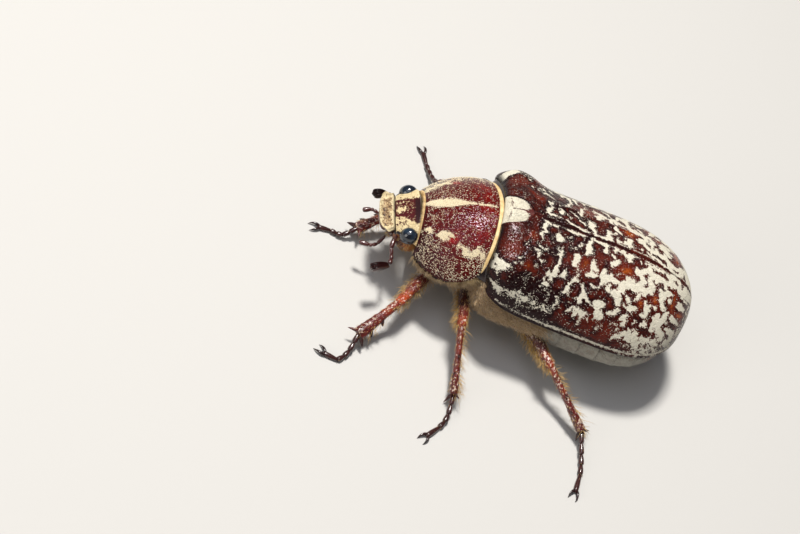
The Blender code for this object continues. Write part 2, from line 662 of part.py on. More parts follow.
def tibia(name, kind, leg, collection):
    """Make the shin of a leg with its teeth or spines and the spurs at its end."""
    axis = bend_axis(leg)
    thigh = unit(np.subtract(leg["knee"], leg["coxa"]))
    bend = 1 - np.dot(thigh, unit(np.subtract(leg["ankle"], leg["knee"])))
    start = shifted(leg["knee"], leg["ankle"], KNEE_CLEAR[0] + KNEE_CLEAR[1] * bend)
    end = np.array(leg["ankle"])
    along = unit(end - start)
    length = np.linalg.norm(end - start)
    out = across_in_plane(axis, along)
    out = out if np.dot(out, UP) > 0 else -out
    if kind == "fore":
        out = unit(np.cross(along, UP)) * (-1 if leg["coxa"][1] < 0 else 1)
        out = unit(out - UP * 0.35 - along * np.dot(out - UP * 0.35, along))
    wide, thin = TIBIA_HALF[kind]
    flare = 1.35 if kind == "fore" else 1.5
    widths = ((0, wide * 0.9), (0.25, wide * 0.82), (0.7, wide * 1.1), (1, wide * flare))
    depths = ((0, thin), (0.3, thin * 0.85), (0.7, thin), (1, thin * 1.3))
    made = limb(name, (start, end), out, widths, depths, "leg", collection, stations=9, sides=8,
                round_ends=(0.06, 0.03))
    pieces = []
    if kind == "fore":
        for share, reach in ((0.45, 0.55), (0.72, 0.8), (0.95, 1.0)):
            root = start + along * length * share
            tip = root + out * (wide + reach) + along * (0.25 + 0.45 * share)
            pieces.append(spine("tooth", root, tip, 0.34, "leg", collection, 6))
    else:
        for share, turn in ((0.42, 0.2), (0.66, -0.3)):
            root = start + along * length * share
            lean = unit(out + axis * turn)
            pieces.append(spine("thorn", root, root + lean * (wide + 0.42) + along * 0.35, 0.25,
                                "leg", collection))
        for turn in (-1.6, -0.5, 0.6, 1.7):
            lean = out * math.cos(turn) + axis * math.sin(turn)
            root = end - along * 0.35
            pieces.append(spine("crown", root, root + lean * (wide * 1.6 + 0.12) + along * 0.5, 0.25,
                                "leg", collection))
    spurs = ((-0.1, 0.35, 1.15),) if kind == "fore" else ((-0.95, 0.8, 0.6), (-0.35, 0.7, 0.8))
    for turn, reach, inward in spurs:
        root = end - along * 0.35 - out * 0.15
        tip = end + along * reach - out * inward + axis * turn
        pieces.append(spine("spur", root, tip, 0.24, "leg", collection))
    return apply_boolean(made, "UNION", pieces)


def foot_path(leg):
    """Return the ends of the five joints of a foot along its smooth bent path."""
    places = np.array((shifted(leg["ankle"], leg["foot"][0], ANKLE_CLEAR), *leg["foot"]), float)
    run = np.concatenate([[0], np.cumsum(np.linalg.norm(np.diff(places, axis=0), axis=1))])
    curves = [smooth(np.stack([run / run[-1], places[:, k]], axis=1)) for k in range(3)]
    shares = np.array((0, 0.2, 0.37, 0.53, 0.68, 1.0))
    return np.stack([curve(shares) for curve in curves], axis=1)


def foot(name, leg, collection):
    """Make a foot of five joints with its pair of claws, flat where it meets the ground."""
    path = foot_path(leg)
    radii = (FOOT_RADIUS * 0.95, FOOT_RADIUS * 0.95, FOOT_RADIUS, FOOT_RADIUS, FOOT_RADIUS)
    made = beaded(name, path, radii, UP, "foot", collection, waist=0.72)
    aim = np.array((*leg["claws"], 0.0))
    sideways = np.cross(UP, aim)
    pieces = []
    for spread in (-1, 1):
        shares = np.linspace(0, 1, 5)
        root = path[-1] - aim * (0.3 + 0.04 * spread)
        reach = root + np.outer(shares, aim * (CLAW_LENGTH + 0.25))
        reach += np.outer(0.09 + 0.36 * np.sin(shares * 1.9), sideways * spread)
        reach[:, 2] = 0.215 + 0.16 * np.sin(shares * np.pi) - 0.12 * shares ** 2
        halves = np.outer((0.17, 0.19, 0.16, 0.11, 0.045), (1, 1))
        pieces.append(loft("claw", tube_rings(reach, UP, halves, 5), "foot", collection))
    made = apply_boolean(made, "UNION", pieces)
    return cut_flat(made)


def cut_flat(thing):
    """Cut away what lies below the ground and close the cut with a flat face."""
    work = bmesh.new()
    work.from_mesh(thing.data)
    geometry = list(work.verts) + list(work.edges) + list(work.faces)
    cut = bmesh.ops.bisect_plane(work, geom=geometry, dist=1e-7, plane_co=(0, 0, 0), plane_no=(0, 0, -1),
                                 clear_outer=True)
    rim = [item for item in cut["geom_cut"] if isinstance(item, bmesh.types.BMEdge)]
    bmesh.ops.holes_fill(work, edges=rim, sides=0)
    bmesh.ops.recalc_face_normals(work, faces=work.faces)
    bmesh.ops.triangulate(work, faces=work.faces)
    work.to_mesh(thing.data)
    work.free()
    return thing


def legs(collection):
    """Make the four parts of each of the six legs."""
    for place, leg in LEGS.items():
        kind = place.split("_")[0]
        coxa("coxa_" + place, leg, 0.0, collection)
        femur("femur_" + place, kind, leg, 0.0, collection)
        tibia("tibia_" + place, kind, leg, collection)
        foot("tarsus_" + place, leg, collection)


def leg_hollows(kinds, collection):
    """Return the grown hips and thighs that are cut from the breast they lie against."""
    cutters = []
    for place, leg in LEGS.items():
        if place.split("_")[0] in kinds:
            cutters.append(coxa("hollow", leg, GAP, collection))
            cutters.append(femur("hollow", place.split("_")[0], leg, GAP, collection))
    return cutters


def body(collection):
    """Make the trunk: shield, breast, scutellum, wing covers, abdomen and tail plate."""
    shield(collection)
    breast = prosternum(collection)
    apply_boolean(breast, "DIFFERENCE", leg_hollows(("fore", "mid"), collection))
    scutellum(collection)
    wing_cover("elytron_left", -1, collection)
    wing_cover("elytron_right", 1, collection)
    thorax = body_core("metathorax", np.linspace(THORAX_FRONT_X, THORAX_END_X, 11), "pile", collection)
    apply_boolean(thorax, "DIFFERENCE", leg_hollows(("mid", "hind"), collection))
    abdomen = body_core("abdomen", np.linspace(THORAX_END_X + GAP, ABDOMEN_END_X, 13), "belly", collection)
    apply_boolean(abdomen, "DIFFERENCE", leg_hollows(("hind",), collection))
    tail = ABDOMEN_END_X + GAP + (TAIL_X - ABDOMEN_END_X - GAP) * np.array((0, 0.3, 0.55, 0.75, 0.9, 0.99))
    body_core("pygidium", tail, "belly", collection)


def stand_on_origin(collection):
    """Move the whole animal so that the middle of its box stands over the origin."""
    bpy.context.view_layer.update()
    depsgraph = bpy.context.evaluated_depsgraph_get()
    corners = []
    for thing in collection.objects:
        mesh = thing.evaluated_get(depsgraph).to_mesh()
        places = np.empty(len(mesh.vertices) * 3)
        mesh.vertices.foreach_get("co", places)
        places = places.reshape(-1, 3)
        corners += [places.min(axis=0), places.max(axis=0)]
    middle = (np.min(corners, axis=0) + np.max(corners, axis=0)) / 2
    for thing in collection.objects:
        thing.location = (-middle[0], -middle[1], 0.0)


def main():
    """Build the whole beetle."""
    empty_scene()
    collection = bpy.data.collections.new("pine_chafer")
    bpy.context.scene.collection.children.link(collection)
    body(collection)
    head(collection)
    eye("eye_left", -1, 0.0, collection)
    eye("eye_right", 1, 0.0, collection)
    clypeus(collection)
    mouth(collection)
    feelers(collection)
    palps(collection)
    legs(collection)
    stand_on_origin(collection)


main()
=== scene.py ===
"""The looks of the pine chafer: shells, scales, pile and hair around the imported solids.

Places are worked out in the body's own frame in millimetres, as the solids were: +X to the tail,
-Y the beetle's left, +Z up, y = 0 the middle plane of the wing covers, z = 0 the ground. They are
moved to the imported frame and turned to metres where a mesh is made.
"""
from __future__ import annotations

import logging
import math
from dataclasses import dataclass, field, fields
from enum import Enum
from typing import Callable, Sequence

import bpy
import numpy as np
from mathutils import Matrix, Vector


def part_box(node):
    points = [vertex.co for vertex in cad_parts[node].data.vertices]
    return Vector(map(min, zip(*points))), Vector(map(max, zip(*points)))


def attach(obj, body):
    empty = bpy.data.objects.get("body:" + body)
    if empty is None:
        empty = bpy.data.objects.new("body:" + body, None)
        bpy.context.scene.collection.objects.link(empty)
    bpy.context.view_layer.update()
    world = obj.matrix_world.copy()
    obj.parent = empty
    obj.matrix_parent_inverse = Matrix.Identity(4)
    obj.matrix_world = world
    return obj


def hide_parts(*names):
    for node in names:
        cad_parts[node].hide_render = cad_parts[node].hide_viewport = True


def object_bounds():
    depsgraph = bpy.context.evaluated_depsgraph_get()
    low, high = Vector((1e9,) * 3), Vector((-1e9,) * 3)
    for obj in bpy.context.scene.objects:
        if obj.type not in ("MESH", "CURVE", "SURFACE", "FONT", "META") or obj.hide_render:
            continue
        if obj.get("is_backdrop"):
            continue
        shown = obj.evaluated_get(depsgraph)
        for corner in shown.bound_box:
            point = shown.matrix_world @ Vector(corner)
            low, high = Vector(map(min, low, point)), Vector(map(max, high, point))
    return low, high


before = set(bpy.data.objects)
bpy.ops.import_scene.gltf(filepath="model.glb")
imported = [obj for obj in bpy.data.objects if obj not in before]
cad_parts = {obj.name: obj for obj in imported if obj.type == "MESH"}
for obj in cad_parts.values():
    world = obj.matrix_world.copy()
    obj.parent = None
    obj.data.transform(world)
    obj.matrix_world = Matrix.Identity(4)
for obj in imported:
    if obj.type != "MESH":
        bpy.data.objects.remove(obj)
CAD_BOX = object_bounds()

Array = np.ndarray
Triple = tuple[float, float, float]

LOG = logging.getLogger("pine_chafer")
MM = 0.001
BODY = "root"
UP = np.array((0.0, 0.0, 1.0))
TAILWARDS = np.array((1.0, 0.0, 0.0))
# The gap in mm between the pronotum's base and the wing covers
GAP = 0.3
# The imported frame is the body's frame moved along the ground, and the abdomen's box says how far
ABDOMEN_FRONT_X = 4.3
SHIFT = np.array((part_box("abdomen")[0].x / MM - ABDOMEN_FRONT_X,
                  (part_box("abdomen")[0].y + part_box("abdomen")[1].y) / 2 / MM, 0.0))


# ---- numbers to shapes


def unit(vector: Array) -> Array:
    """Return the vectors at length one, along the last axis."""
    vector = np.asarray(vector, float)
    return vector / np.maximum(np.linalg.norm(vector, axis=-1, keepdims=True), 1e-12)


def step_between(low: float, high: float, value: Array) -> Array:
    """Return 0 below low, 1 above high and a smooth S curve between them."""
    t = np.clip((np.asarray(value, float) - low) / (high - low), 0, 1)
    return t * t * (3 - 2 * t)


def bell(value: Array, middle: float, spread: float) -> Array:
    """Return a bell curve of height one around a middle."""
    return np.exp(-((np.asarray(value, float) - middle) / spread) ** 2)


def three_way(values: Sequence[float], s: Array) -> Array:
    """Return a quadratic in s that takes three values at s = 0, 1/2 and 1."""
    start, middle, end = values
    return start * (1 - s) * (1 - 2 * s) + 4 * middle * s * (1 - s) + end * s * (2 * s - 1)


def smooth(pairs: Sequence[Sequence[float]]) -> Callable[[Array], Array]:
    """Return a smooth curve through (place, value) pairs, as a function of the place.

    Args:
        pairs: the places, rising, and the value at each.

    Returns:
        The curve, as a function of the place.
    """
    xs, ys = np.array(pairs, float).T
    slopes = np.diff(ys) / np.diff(xs)
    inner = np.where(slopes[1:] * slopes[:-1] > 0, (slopes[1:] + slopes[:-1]) / 2, 0.0)
    tangents = np.concatenate([slopes[:1], inner, slopes[-1:]])

    def value(x: Array) -> Array:
        """Return the curve's value at x, by cubic Hermite steps between the pairs.

        Args:
            x: the places.

        Returns:
            The values.
        """
        x = np.clip(x, xs[0], xs[-1])
        i = np.clip(np.searchsorted(xs, x) - 1, 0, len(xs) - 2)
        step = xs[i + 1] - xs[i]
        t = (x - xs[i]) / step
        return ((1 + 2 * t) * (1 - t) ** 2 * ys[i] + t * (1 - t) ** 2 * step * tangents[i]
                + t * t * (3 - 2 * t) * ys[i + 1] - t * t * (1 - t) * step * tangents[i + 1])

    return value


@dataclass(frozen=True)
class Grain:
    """Lattice noise: random values at the corners of cubic cells, blended smoothly inside them."""

    seed: int
    table_size: int = 4096
    primes: tuple[int, int, int] = (73856093, 19349663, 83492791)
    fade: float = 0.55
    apart: float = 17.3

    def value(self, place: Array, cell: float) -> Array:
        """Return noise from 0 to 1 at places, for cells of a size in millimetres.

        Args:
            place: the places in mm.
            cell: the size of a cell in mm.

        Returns:
            A value from 0 to 1 for each place.
        """
        table = np.random.default_rng(self.seed).random(self.table_size)
        q = np.asarray(place, float) / cell
        base = np.floor(q).astype(np.int64)
        f = q - base
        f = f * f * (3 - 2 * f)
        total = np.zeros(q.shape[:-1])
        for corner in np.ndindex(2, 2, 2):
            key = np.bitwise_xor.reduce((base + np.array(corner)) * np.array(self.primes), axis=-1)
            weight = np.prod(np.where(np.array(corner) == 1, f, 1 - f), axis=-1)
            total += table[key & (self.table_size - 1)] * weight
        return total

    def rough(self, place: Array, cell: float, octaves: int = 3) -> Array:
        """Return the noise with finer copies of it added, each half as large and as strong.

        Args:
            place: the places in mm.
            cell: the size of the largest cells in mm.
            octaves: how many copies are added up.

        Returns:
            A value from 0 to 1 for each place.
        """
        total, weight, norm = 0.0, 1.0, 0.0
        for k in range(octaves):
            total = total + weight * self.value(place + self.apart * k, cell / 2 ** k)
            norm += weight
            weight *= self.fade
        return total / norm


# ---- meshes


def to_row(points: Array) -> Array:
    """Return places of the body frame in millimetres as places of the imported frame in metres."""
    return (np.asarray(points, float) + SHIFT) * MM


@dataclass
class Surface:
    """Points with quads and triangles, closed, and values kept at its points."""

    points: Array
    quads: Array = field(default_factory=lambda: np.zeros((0, 4), int))
    tris: Array = field(default_factory=lambda: np.zeros((0, 3), int))
    marks: dict[str, Array] = field(default_factory=dict)
    uv: Array | None = None

    def triangles(self) -> Array:
        """Return every face as triangles."""
        return np.concatenate([self.quads[:, (0, 1, 2)], self.quads[:, (0, 2, 3)], self.tris])

    def volume(self) -> float:
        """Return the signed volume, which is positive where the faces point outwards."""
        a, b, c = (self.points[self.triangles()[:, k]] for k in range(3))
        return float((a * np.cross(b, c)).sum() / 6)

    def outward(self) -> Surface:
        """Return the surface with its faces pointing outwards.

        Returns:
            The surface itself.
        """
        if self.volume() < 0:
            self.quads, self.tris = self.quads[:, ::-1], self.tris[:, ::-1]
        return self


def joined(parts: Sequence[Surface]) -> Surface:
    """Return several surfaces as one, with their marks, which are nought where one has none.

    Args:
        parts: the surfaces.

    Returns:
        One surface.
    """
    names = {name for part in parts for name in part.marks}
    offset, quads, tris = 0, [], []
    for part in parts:
        quads.append(part.quads + offset)
        tris.append(part.tris + offset)
        offset += len(part.points)
    marks = {name: np.concatenate([part.marks.get(name, np.zeros(len(part.points))) for part in parts])
             for name in names}
    uv = None if any(part.uv is None for part in parts) else np.concatenate([part.uv for part in parts])
    return Surface(np.concatenate([part.points for part in parts]), np.concatenate(quads),
                   np.concatenate(tris), marks, uv)


def grid_quads(rows: int, columns: int, closed: bool) -> Array:
    """Return the quads of a grid of points, joined round its columns where it is closed.

    Args:
        rows: how many rows.
        columns: how many columns.
        closed: whether the last column meets the first.

    Returns:
        Four point numbers for each quad.
    """
    i, j = np.meshgrid(np.arange(rows - 1), np.arange(columns if closed else columns - 1), indexing="ij")
    k = (j + 1) % columns
    return np.stack([i * columns + j, i * columns + k, (i + 1) * columns + k, (i + 1) * columns + j],
                    axis=-1).reshape(-1, 4)


def tube(rings: Array, marks: dict[str, Array] | None = None) -> Surface:
    """Skin a stack of closed rings and close both ends with a fan to the middle of the end ring.

    Args:
        rings: the rings, as rows of points.
        marks: values kept at the points, by name.

    Returns:
        The closed surface.
    """
    rings = np.asarray(rings, float)
    rows, columns = rings.shape[:2]
    centres = np.array((rings[0].mean(axis=0), rings[-1].mean(axis=0)))
    points = np.concatenate([rings.reshape(-1, 3), centres])
    j = np.arange(columns)
    k = (j + 1) % columns
    first = np.stack([k, j, np.full(columns, rows * columns)], axis=1)
    last = np.stack([(rows - 1) * columns + j, (rows - 1) * columns + k,
                     np.full(columns, rows * columns + 1)], axis=1)
    kept = {name: np.concatenate([value.reshape(-1), [value[0].mean(), value[-1].mean()]])
            for name, value in (marks or {}).items()}
    return Surface(points, grid_quads(rows, columns, True), np.concatenate([first, last]), kept).outward()


def slab(outer: Array, inner: Array, marks: dict[str, Array] | None = None) -> Surface:
    """Return the closed wall between an outer and an inner grid of the same size.

    Args:
        outer: the outer grid.
        inner: the inner grid.
        marks: values kept at the outer points, by name.

    Returns:
        The closed surface.
    """
    rows, columns = outer.shape[:2]
    count = rows * columns
    grid = grid_quads(rows, columns, False)
    at = np.arange(count).reshape(rows, columns)
    rim = np.concatenate([at[0, :-1], at[:-1, -1], at[-1, :0:-1], at[:0:-1, 0]])
    rim_next = np.roll(rim, -1)
    wall = np.stack([rim, rim + count, rim_next + count, rim_next], axis=1)
    points = np.concatenate([outer.reshape(-1, 3), inner.reshape(-1, 3)])
    kept = {name: np.concatenate([value.reshape(-1), np.zeros(count)]) for name, value in (marks or {}).items()}
    return Surface(points, np.concatenate([grid, grid[:, ::-1] + count, wall]), marks=kept).outward()


def normals_of(grid: Array) -> Array:
    """Return the unit normal at each point of a grid, from the slopes along and across it."""
    return unit(np.cross(np.gradient(grid, axis=0), np.gradient(grid, axis=1)))


def faces_down(grid: Array, row: int, column: int) -> bool:
    """Return whether a grid's worked-out normal points down at one of its points."""
    return bool(normals_of(grid)[row, column, 2] < 0)


def arc(start: float, end: float, count: int) -> Array:
    """Return the sines of evenly spread angles, which lie closer together near -1 and 1."""
    return np.sin(np.linspace(start * np.pi / 2, end * np.pi / 2, count))


def circle(count: int) -> Array:
    """Return evenly spread angles once round a circle."""
    return np.arange(count) * 2 * np.pi / count


def tube_rings(path: Array, across: Array, halves: Array, sides: int) -> Array:
    """Return elliptic rings along a path; across is the direction of the wide half.

    Args:
        path: the middle line.
        across: the direction of the wide half, one for all or one for each ring.
        halves: the half width and half depth of each ring in mm.
        sides: how many points to a ring.

    Returns:
        The rings, as rows of points.
    """
    path, halves = np.asarray(path, float), np.asarray(halves, float)
    tangent = unit(np.gradient(path, axis=0))
    across = np.broadcast_to(np.asarray(across, float), path.shape)
    wide = unit(across - tangent * (across * tangent).sum(axis=1, keepdims=True))
    thin = np.cross(tangent, wide)
    angles = circle(sides)
    return (path[:, None] + np.cos(angles)[None, :, None] * (halves[:, :1] * wide)[:, None]
            + np.sin(angles)[None, :, None] * (halves[:, 1:] * thin)[:, None])


def place_mesh(name: str, surface: Surface, material: bpy.types.Material,
               replaces: Sequence[str] = ()) -> None:
    """Put a surface into the scene as one piece that rides on the body.

    Args:
        name: the piece's name.
        surface: its points in millimetres of the body frame, and its faces.
        material: its finish.
        replaces: the solids that it stands for.
    """
    mesh = bpy.data.meshes.new(name)
    mesh.vertices.add(len(surface.points))
    mesh.vertices.foreach_set("co", to_row(surface.points).ravel())
    corners = np.concatenate([surface.quads.ravel(), surface.tris.ravel()])
    quads, tris = len(surface.quads), len(surface.tris)
    starts = np.concatenate([np.arange(quads) * 4, quads * 4 + np.arange(tris) * 3])
    mesh.loops.add(len(corners))
    mesh.loops.foreach_set("vertex_index", corners.astype(np.int32))
    mesh.polygons.add(quads + tris)
    mesh.polygons.foreach_set("loop_start", starts.astype(np.int32))
    mesh.update(calc_edges=True)
    for label, value in surface.marks.items():
        layer = mesh.attributes.new(label, "FLOAT", "POINT")
        layer.data.foreach_set("value", np.asarray(value, np.float32))
    if surface.uv is not None:
        layer = mesh.uv_layers.new(name="OFBake")
        layer.data.foreach_set("uv", surface.uv[corners].astype(np.float32).ravel())
    mesh.shade_smooth()
    mesh.materials.append(material)
    piece = bpy.data.objects.new(name, mesh)
    bpy.context.scene.collection.objects.link(piece)
    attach(piece, BODY)
    if replaces:
        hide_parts(*replaces)
    LOG.info("%s: %d triangles", name, quads * 2 + tris)


# ---- coats of scales and hair


@dataclass
class Roots:
    """Places on a skin where scales or hairs grow."""

    place: Array
    normal: Array
    along: Array
    across: Array
    uv: Array

    def take(self, keep: Array) -> Roots:
        """Return the roots that a mask keeps."""
        return Roots(*(getattr(self, item.name)[keep] for item in fields(self)))

    def __len__(self) -> int:
        """Return how many roots there are."""
        return len(self.place)


@dataclass(frozen=True)
class Skin:
    """A grid of points that scales or hairs grow on, and that the whole of their map covers."""

    grid: Array
    closed: bool = False
    inward: bool = False

    def scatter(self, per_mm2: float, seed: int) -> Roots:
        """Return roots spread evenly over the skin, so many to a square millimetre.

        Args:
            per_mm2: how many to a square millimetre.
            seed: seeds the random draws.

        Returns:
            The roots.
        """
        rng = np.random.default_rng(seed)
        grid = np.concatenate([self.grid, self.grid[:, :1]], axis=1) if self.closed else self.grid
        down, right = grid[1:, :-1] - grid[:-1, :-1], grid[:-1, 1:] - grid[:-1, :-1]
        area = np.linalg.norm(np.cross(down, right), axis=-1)
        count = rng.poisson(area.sum() * per_mm2)
        cell = rng.choice(area.size, size=count, p=(area / area.sum()).ravel())
        i, j = np.divmod(cell, area.shape[1])
        a, b = rng.random(count), rng.random(count)
        w = np.stack([(1 - a) * (1 - b), (1 - a) * b, a * (1 - b), a * b], axis=1)[..., None]
        corners = ((i, j), (i, j + 1), (i + 1, j), (i + 1, j + 1))
        place = sum(grid[p] * w[:, k] for k, p in enumerate(corners))
        along = unit(grid[i + 1, j] - grid[i, j] + 1e-9)
        across = unit(grid[i, j + 1] - grid[i, j] + 1e-9)
        normal = unit(np.cross(along, across)) * (-1 if self.inward else 1)
        uv = np.stack([(i + a) / area.shape[0], (j + b) / area.shape[1]], axis=1)
        return Roots(place, normal, along, across, uv)


def all_roots(groups: Sequence[Roots]) -> Roots:
    """Return several groups of roots as one."""
    return Roots(*(np.concatenate([getattr(group, item.name) for group in groups]) for item in fields(Roots)))


class Strand(Enum):
    """The forms a single scale or hair can take, as (along, across, up) corners and triangles."""

    SCALE = (((0.0, 0.0, -0.25), (0.5, -0.5, 0.0), (0.5, 0.5, 0.0), (1.0, 0.0, 0.0), (0.5, 0.0, 0.28)),
             ((0, 2, 4), (2, 3, 4), (3, 1, 4), (1, 0, 4), (0, 3, 2), (0, 1, 3)))
    HAIR = (((0.0, -0.5, -0.3), (0.0, 0.5, -0.3), (0.0, 0.0, 0.5), (0.5, -0.4, -0.25), (0.5, 0.4, -0.25),
             (0.5, 0.0, 0.4), (1.0, 0.0, 0.0)),
            ((0, 1, 2), (1, 0, 3), (1, 3, 4), (2, 1, 4), (2, 4, 5), (0, 2, 5), (0, 5, 3),
             (4, 3, 6), (5, 4, 6), (3, 5, 6)))


# Half the side of the square that each strand takes up on its coat's map
PATCH_HALF = 0.0015


@dataclass(frozen=True)
class Coat:
    """How the strands of a coat look and lie.

    length, width and sunk, the depth of the root, are in mm. lift is the angle at the root and
    stray the spread of the directions, both in radians. bend is the share of the lift that is lost
    towards the tip, and uneven the spread of the lengths.
    """

    strand: Strand
    length: float
    width: float
    lift: float = 0.15
    bend: float = 0.5
    stray: float = 0.25
    uneven: float = 0.25
    sunk: float = 0.02

    def grow(self, roots: Roots, lie: Array | Triple, seed: int, scale: Array | float = 1.0) -> Surface:
        """Grow strands from roots along their lie.

        A strand runs from its root along the lie, lifted by an angle, and bends back towards the
        skin with the square of the way along it.

        Args:
            roots: where the strands grow.
            lie: the direction in which the strands lie, one for all or one for each.
            seed: seeds the strands' small differences.
            scale: a factor on each strand's size.

        Returns:
            Every strand as a small closed surface, with its patch of the coat's map.
        """
        rng = np.random.default_rng(seed)
        count = len(roots)
        template = np.array(self.strand.value[0])
        faces = np.array(self.strand.value[1])
        lie = np.broadcast_to(lie, roots.place.shape)
        lie = unit(lie - roots.normal * (lie * roots.normal).sum(axis=1, keepdims=True))
        side = np.cross(roots.normal, lie)
        turn = rng.normal(0, self.stray, count)[:, None]
        lie, side = lie * np.cos(turn) + side * np.sin(turn), side * np.cos(turn) - lie * np.sin(turn)
        lift = np.clip(self.lift * (1 + rng.normal(0, 0.4, count)), 0, 1.4)[:, None]
        length = (self.length * np.clip(1 + rng.normal(0, self.uneven, count), 0.4, 1.8) * scale)[:, None]
        heading = lie * np.cos(lift) + roots.normal * np.sin(lift)
        rise = roots.normal * np.cos(lift) - lie * np.sin(lift)
        t = template[:, 0][None, :, None]
        spine = (roots.place - roots.normal * self.sunk)[:, None] + length[:, None] * (
            t * heading[:, None] - self.bend * t ** 2 * (np.sin(lift) * roots.normal)[:, None])
        points = (spine + self.width * (template[:, 1][None, :, None] * side[:, None]
                                        + template[:, 2][None, :, None] * rise[:, None]))
        tris = (faces[None] + len(template) * np.arange(count)[:, None, None]).reshape(-1, 3)
        uv = roots.uv[:, None] + (template[:, :2] - (0.5, 0.0))[None] * PATCH_HALF * 2
        return Surface(points.reshape(-1, 3), tris=tris, uv=np.clip(uv.reshape(-1, 2), 0, 1)).outward()


# ---- materials


class Tree:
    """A short way to write a node tree: nodes are added with their inputs and linked by name."""

    def __init__(self, tree: bpy.types.NodeTree) -> None:
        """Keep the node tree that is written to."""
        self.tree = tree

    def add(self, kind: str, inputs: dict | None = None, **settings: object) -> bpy.types.Node:
        """Add a node, set its settings, and set or link its inputs.

        Args:
            kind: the node's type.
            inputs: a value or a socket for each named input.
            **settings: the node's own settings.

        Returns:
            The node.
        """
        node = self.tree.nodes.new(kind)
        for name, value in settings.items():
            setattr(node, name, value)
        for name, value in (inputs or {}).items():
            if isinstance(value, bpy.types.NodeSocket):
                self.link(value, node, name)
            else:
                node.inputs[name].default_value = value
        return node

    def link(self, value: bpy.types.NodeSocket, node: bpy.types.Node, name: str) -> None:
        """Link a value to a node's input."""
        self.tree.links.new(value, node.inputs[name])

    def math(self, operation: str, *values: object) -> bpy.types.NodeSocket:
        """Return the result of a Math node."""
        return self.add("ShaderNodeMath", dict(enumerate(values)), operation=operation).outputs[0]

    def between(self, value: bpy.types.NodeSocket, low: float, high: float) -> bpy.types.NodeSocket:
        """Return 0 where a value is under low, 1 where it is over high, and a smooth step between.

        Args:
            value: the value.
            low: where the step starts.
            high: where it ends.

        Returns:
            The step's output.
        """
        node = self.add("ShaderNodeMapRange", {"Value": value, "From Min": low, "From Max": high},
                        interpolation_type="SMOOTHSTEP")
        return node.outputs["Result"]

    def mix(self, share: object, one: object, other: object) -> bpy.types.NodeSocket:
        """Return a mix of two colours.

        Args:
            share: how much of the second colour there is.
            one: the first colour.
            other: the second colour.

        Returns:
            The mixed colour's output.
        """
        node = self.add("ShaderNodeMix", data_type="RGBA")
        for socket, value in ((node.inputs["Factor"], share), (node.inputs[6], one), (node.inputs[7], other)):
            if isinstance(value, bpy.types.NodeSocket):
                self.tree.links.new(value, socket)
            else:
                socket.default_value = value if not isinstance(value, tuple) else (*value, 1.0)[:4]
        return node.outputs[2]

    def noise(self, place: bpy.types.NodeSocket, per_mm: float, detail: float = 3.0) -> bpy.types.NodeSocket:
        """Return noise with so many features to a millimetre."""
        return self.add("ShaderNodeTexNoise", {"Vector": place, "Scale": per_mm / MM, "Detail": detail}
                        ).outputs["Fac"]

    def mark(self, name: str) -> bpy.types.NodeSocket:
        """Return a value kept at the piece's points."""
        return self.add("ShaderNodeAttribute", attribute_name=name).outputs["Fac"]


def group_of(name: str, wants: dict[str, tuple[str, float]], gives: Sequence[str]) -> bpy.types.NodeTree:
    """Return a new shader node group with named inputs and outputs.

    Args:
        name: the group's name.
        wants: the kind and first value of each named input.
        gives: the names of its outputs.

    Returns:
        The group.
    """
    group = bpy.data.node_groups.new(name, "ShaderNodeTree")
    for label, (kind, value) in wants.items():
        socket = group.interface.new_socket(label, in_out="INPUT", socket_type="NodeSocket" + kind)
        if kind == "Float":
            socket.default_value = value
    for label in gives:
        group.interface.new_socket(label, in_out="OUTPUT", socket_type="NodeSocketFloat")
    return group


def ragged_group() -> bpy.types.NodeTree:
    """Build the group that turns a kept field into a patch with a ragged edge.

    The field is 0.5 at the patch's edge. Fine noise moves the edge in and out.

    Returns:
        The group, with the output Mask.
    """
    group = group_of("ragged_patch", {"Field": ("Float", 0.0), "Place": ("Vector", 0.0),
                                      "Ragged": ("Float", 0.3), "Soft": ("Float", 0.08),
                                      "Per Metre": ("Float", 6000.0)}, ("Mask",))
    tree = Tree(group)
    given = tree.add("NodeGroupInput").outputs
    speck = tree.add("ShaderNodeTexNoise", {"Vector": given["Place"], "Scale": given["Per Metre"],
                                            "Detail": 3.0}).outputs["Fac"]
    moved = tree.math("MULTIPLY", tree.math("SUBTRACT", speck, 0.5), given["Ragged"])
    edge = tree.math("ADD", given["Field"], moved)
    low = tree.math("SUBTRACT", edge, 0.5)
    share = tree.math("DIVIDE", low, given["Soft"])
    bounded = tree.add("ShaderNodeClamp", {"Value": tree.math("ADD", share, 0.5)}).outputs[0]
    tree.add("NodeGroupOutput", {"Mask": bounded})
    return group


def pitted_group() -> bpy.types.NodeTree:
    """Build the group for a shell's pits and fine grain, as a height.

    Returns:
        The group, with the output Height.
    """
    group = group_of("pitted_shell", {"Place": ("Vector", 0.0), "Per Metre": ("Float", 5000.0),
                                      "Pits": ("Float", 0.6), "Grain": ("Float", 0.4)}, ("Height",))
    tree = Tree(group)
    given = tree.add("NodeGroupInput").outputs
    cells = tree.add("ShaderNodeTexVoronoi", {"Vector": given["Place"], "Scale": given["Per Metre"]},
                     feature="F1").outputs["Distance"]
    pit = tree.math("MULTIPLY", tree.between(cells, 0.0, 0.62), given["Pits"])
    fine = tree.add("ShaderNodeTexNoise", {"Vector": given["Place"], "Scale": given["Per Metre"],
                                           "Detail": 4.0}).outputs["Fac"]
    tree.add("NodeGroupOutput", {"Height": tree.math("ADD", pit, tree.math("MULTIPLY", fine, given["Grain"]))})
    return group


RAGGED = ragged_group()
PITTED = pitted_group()


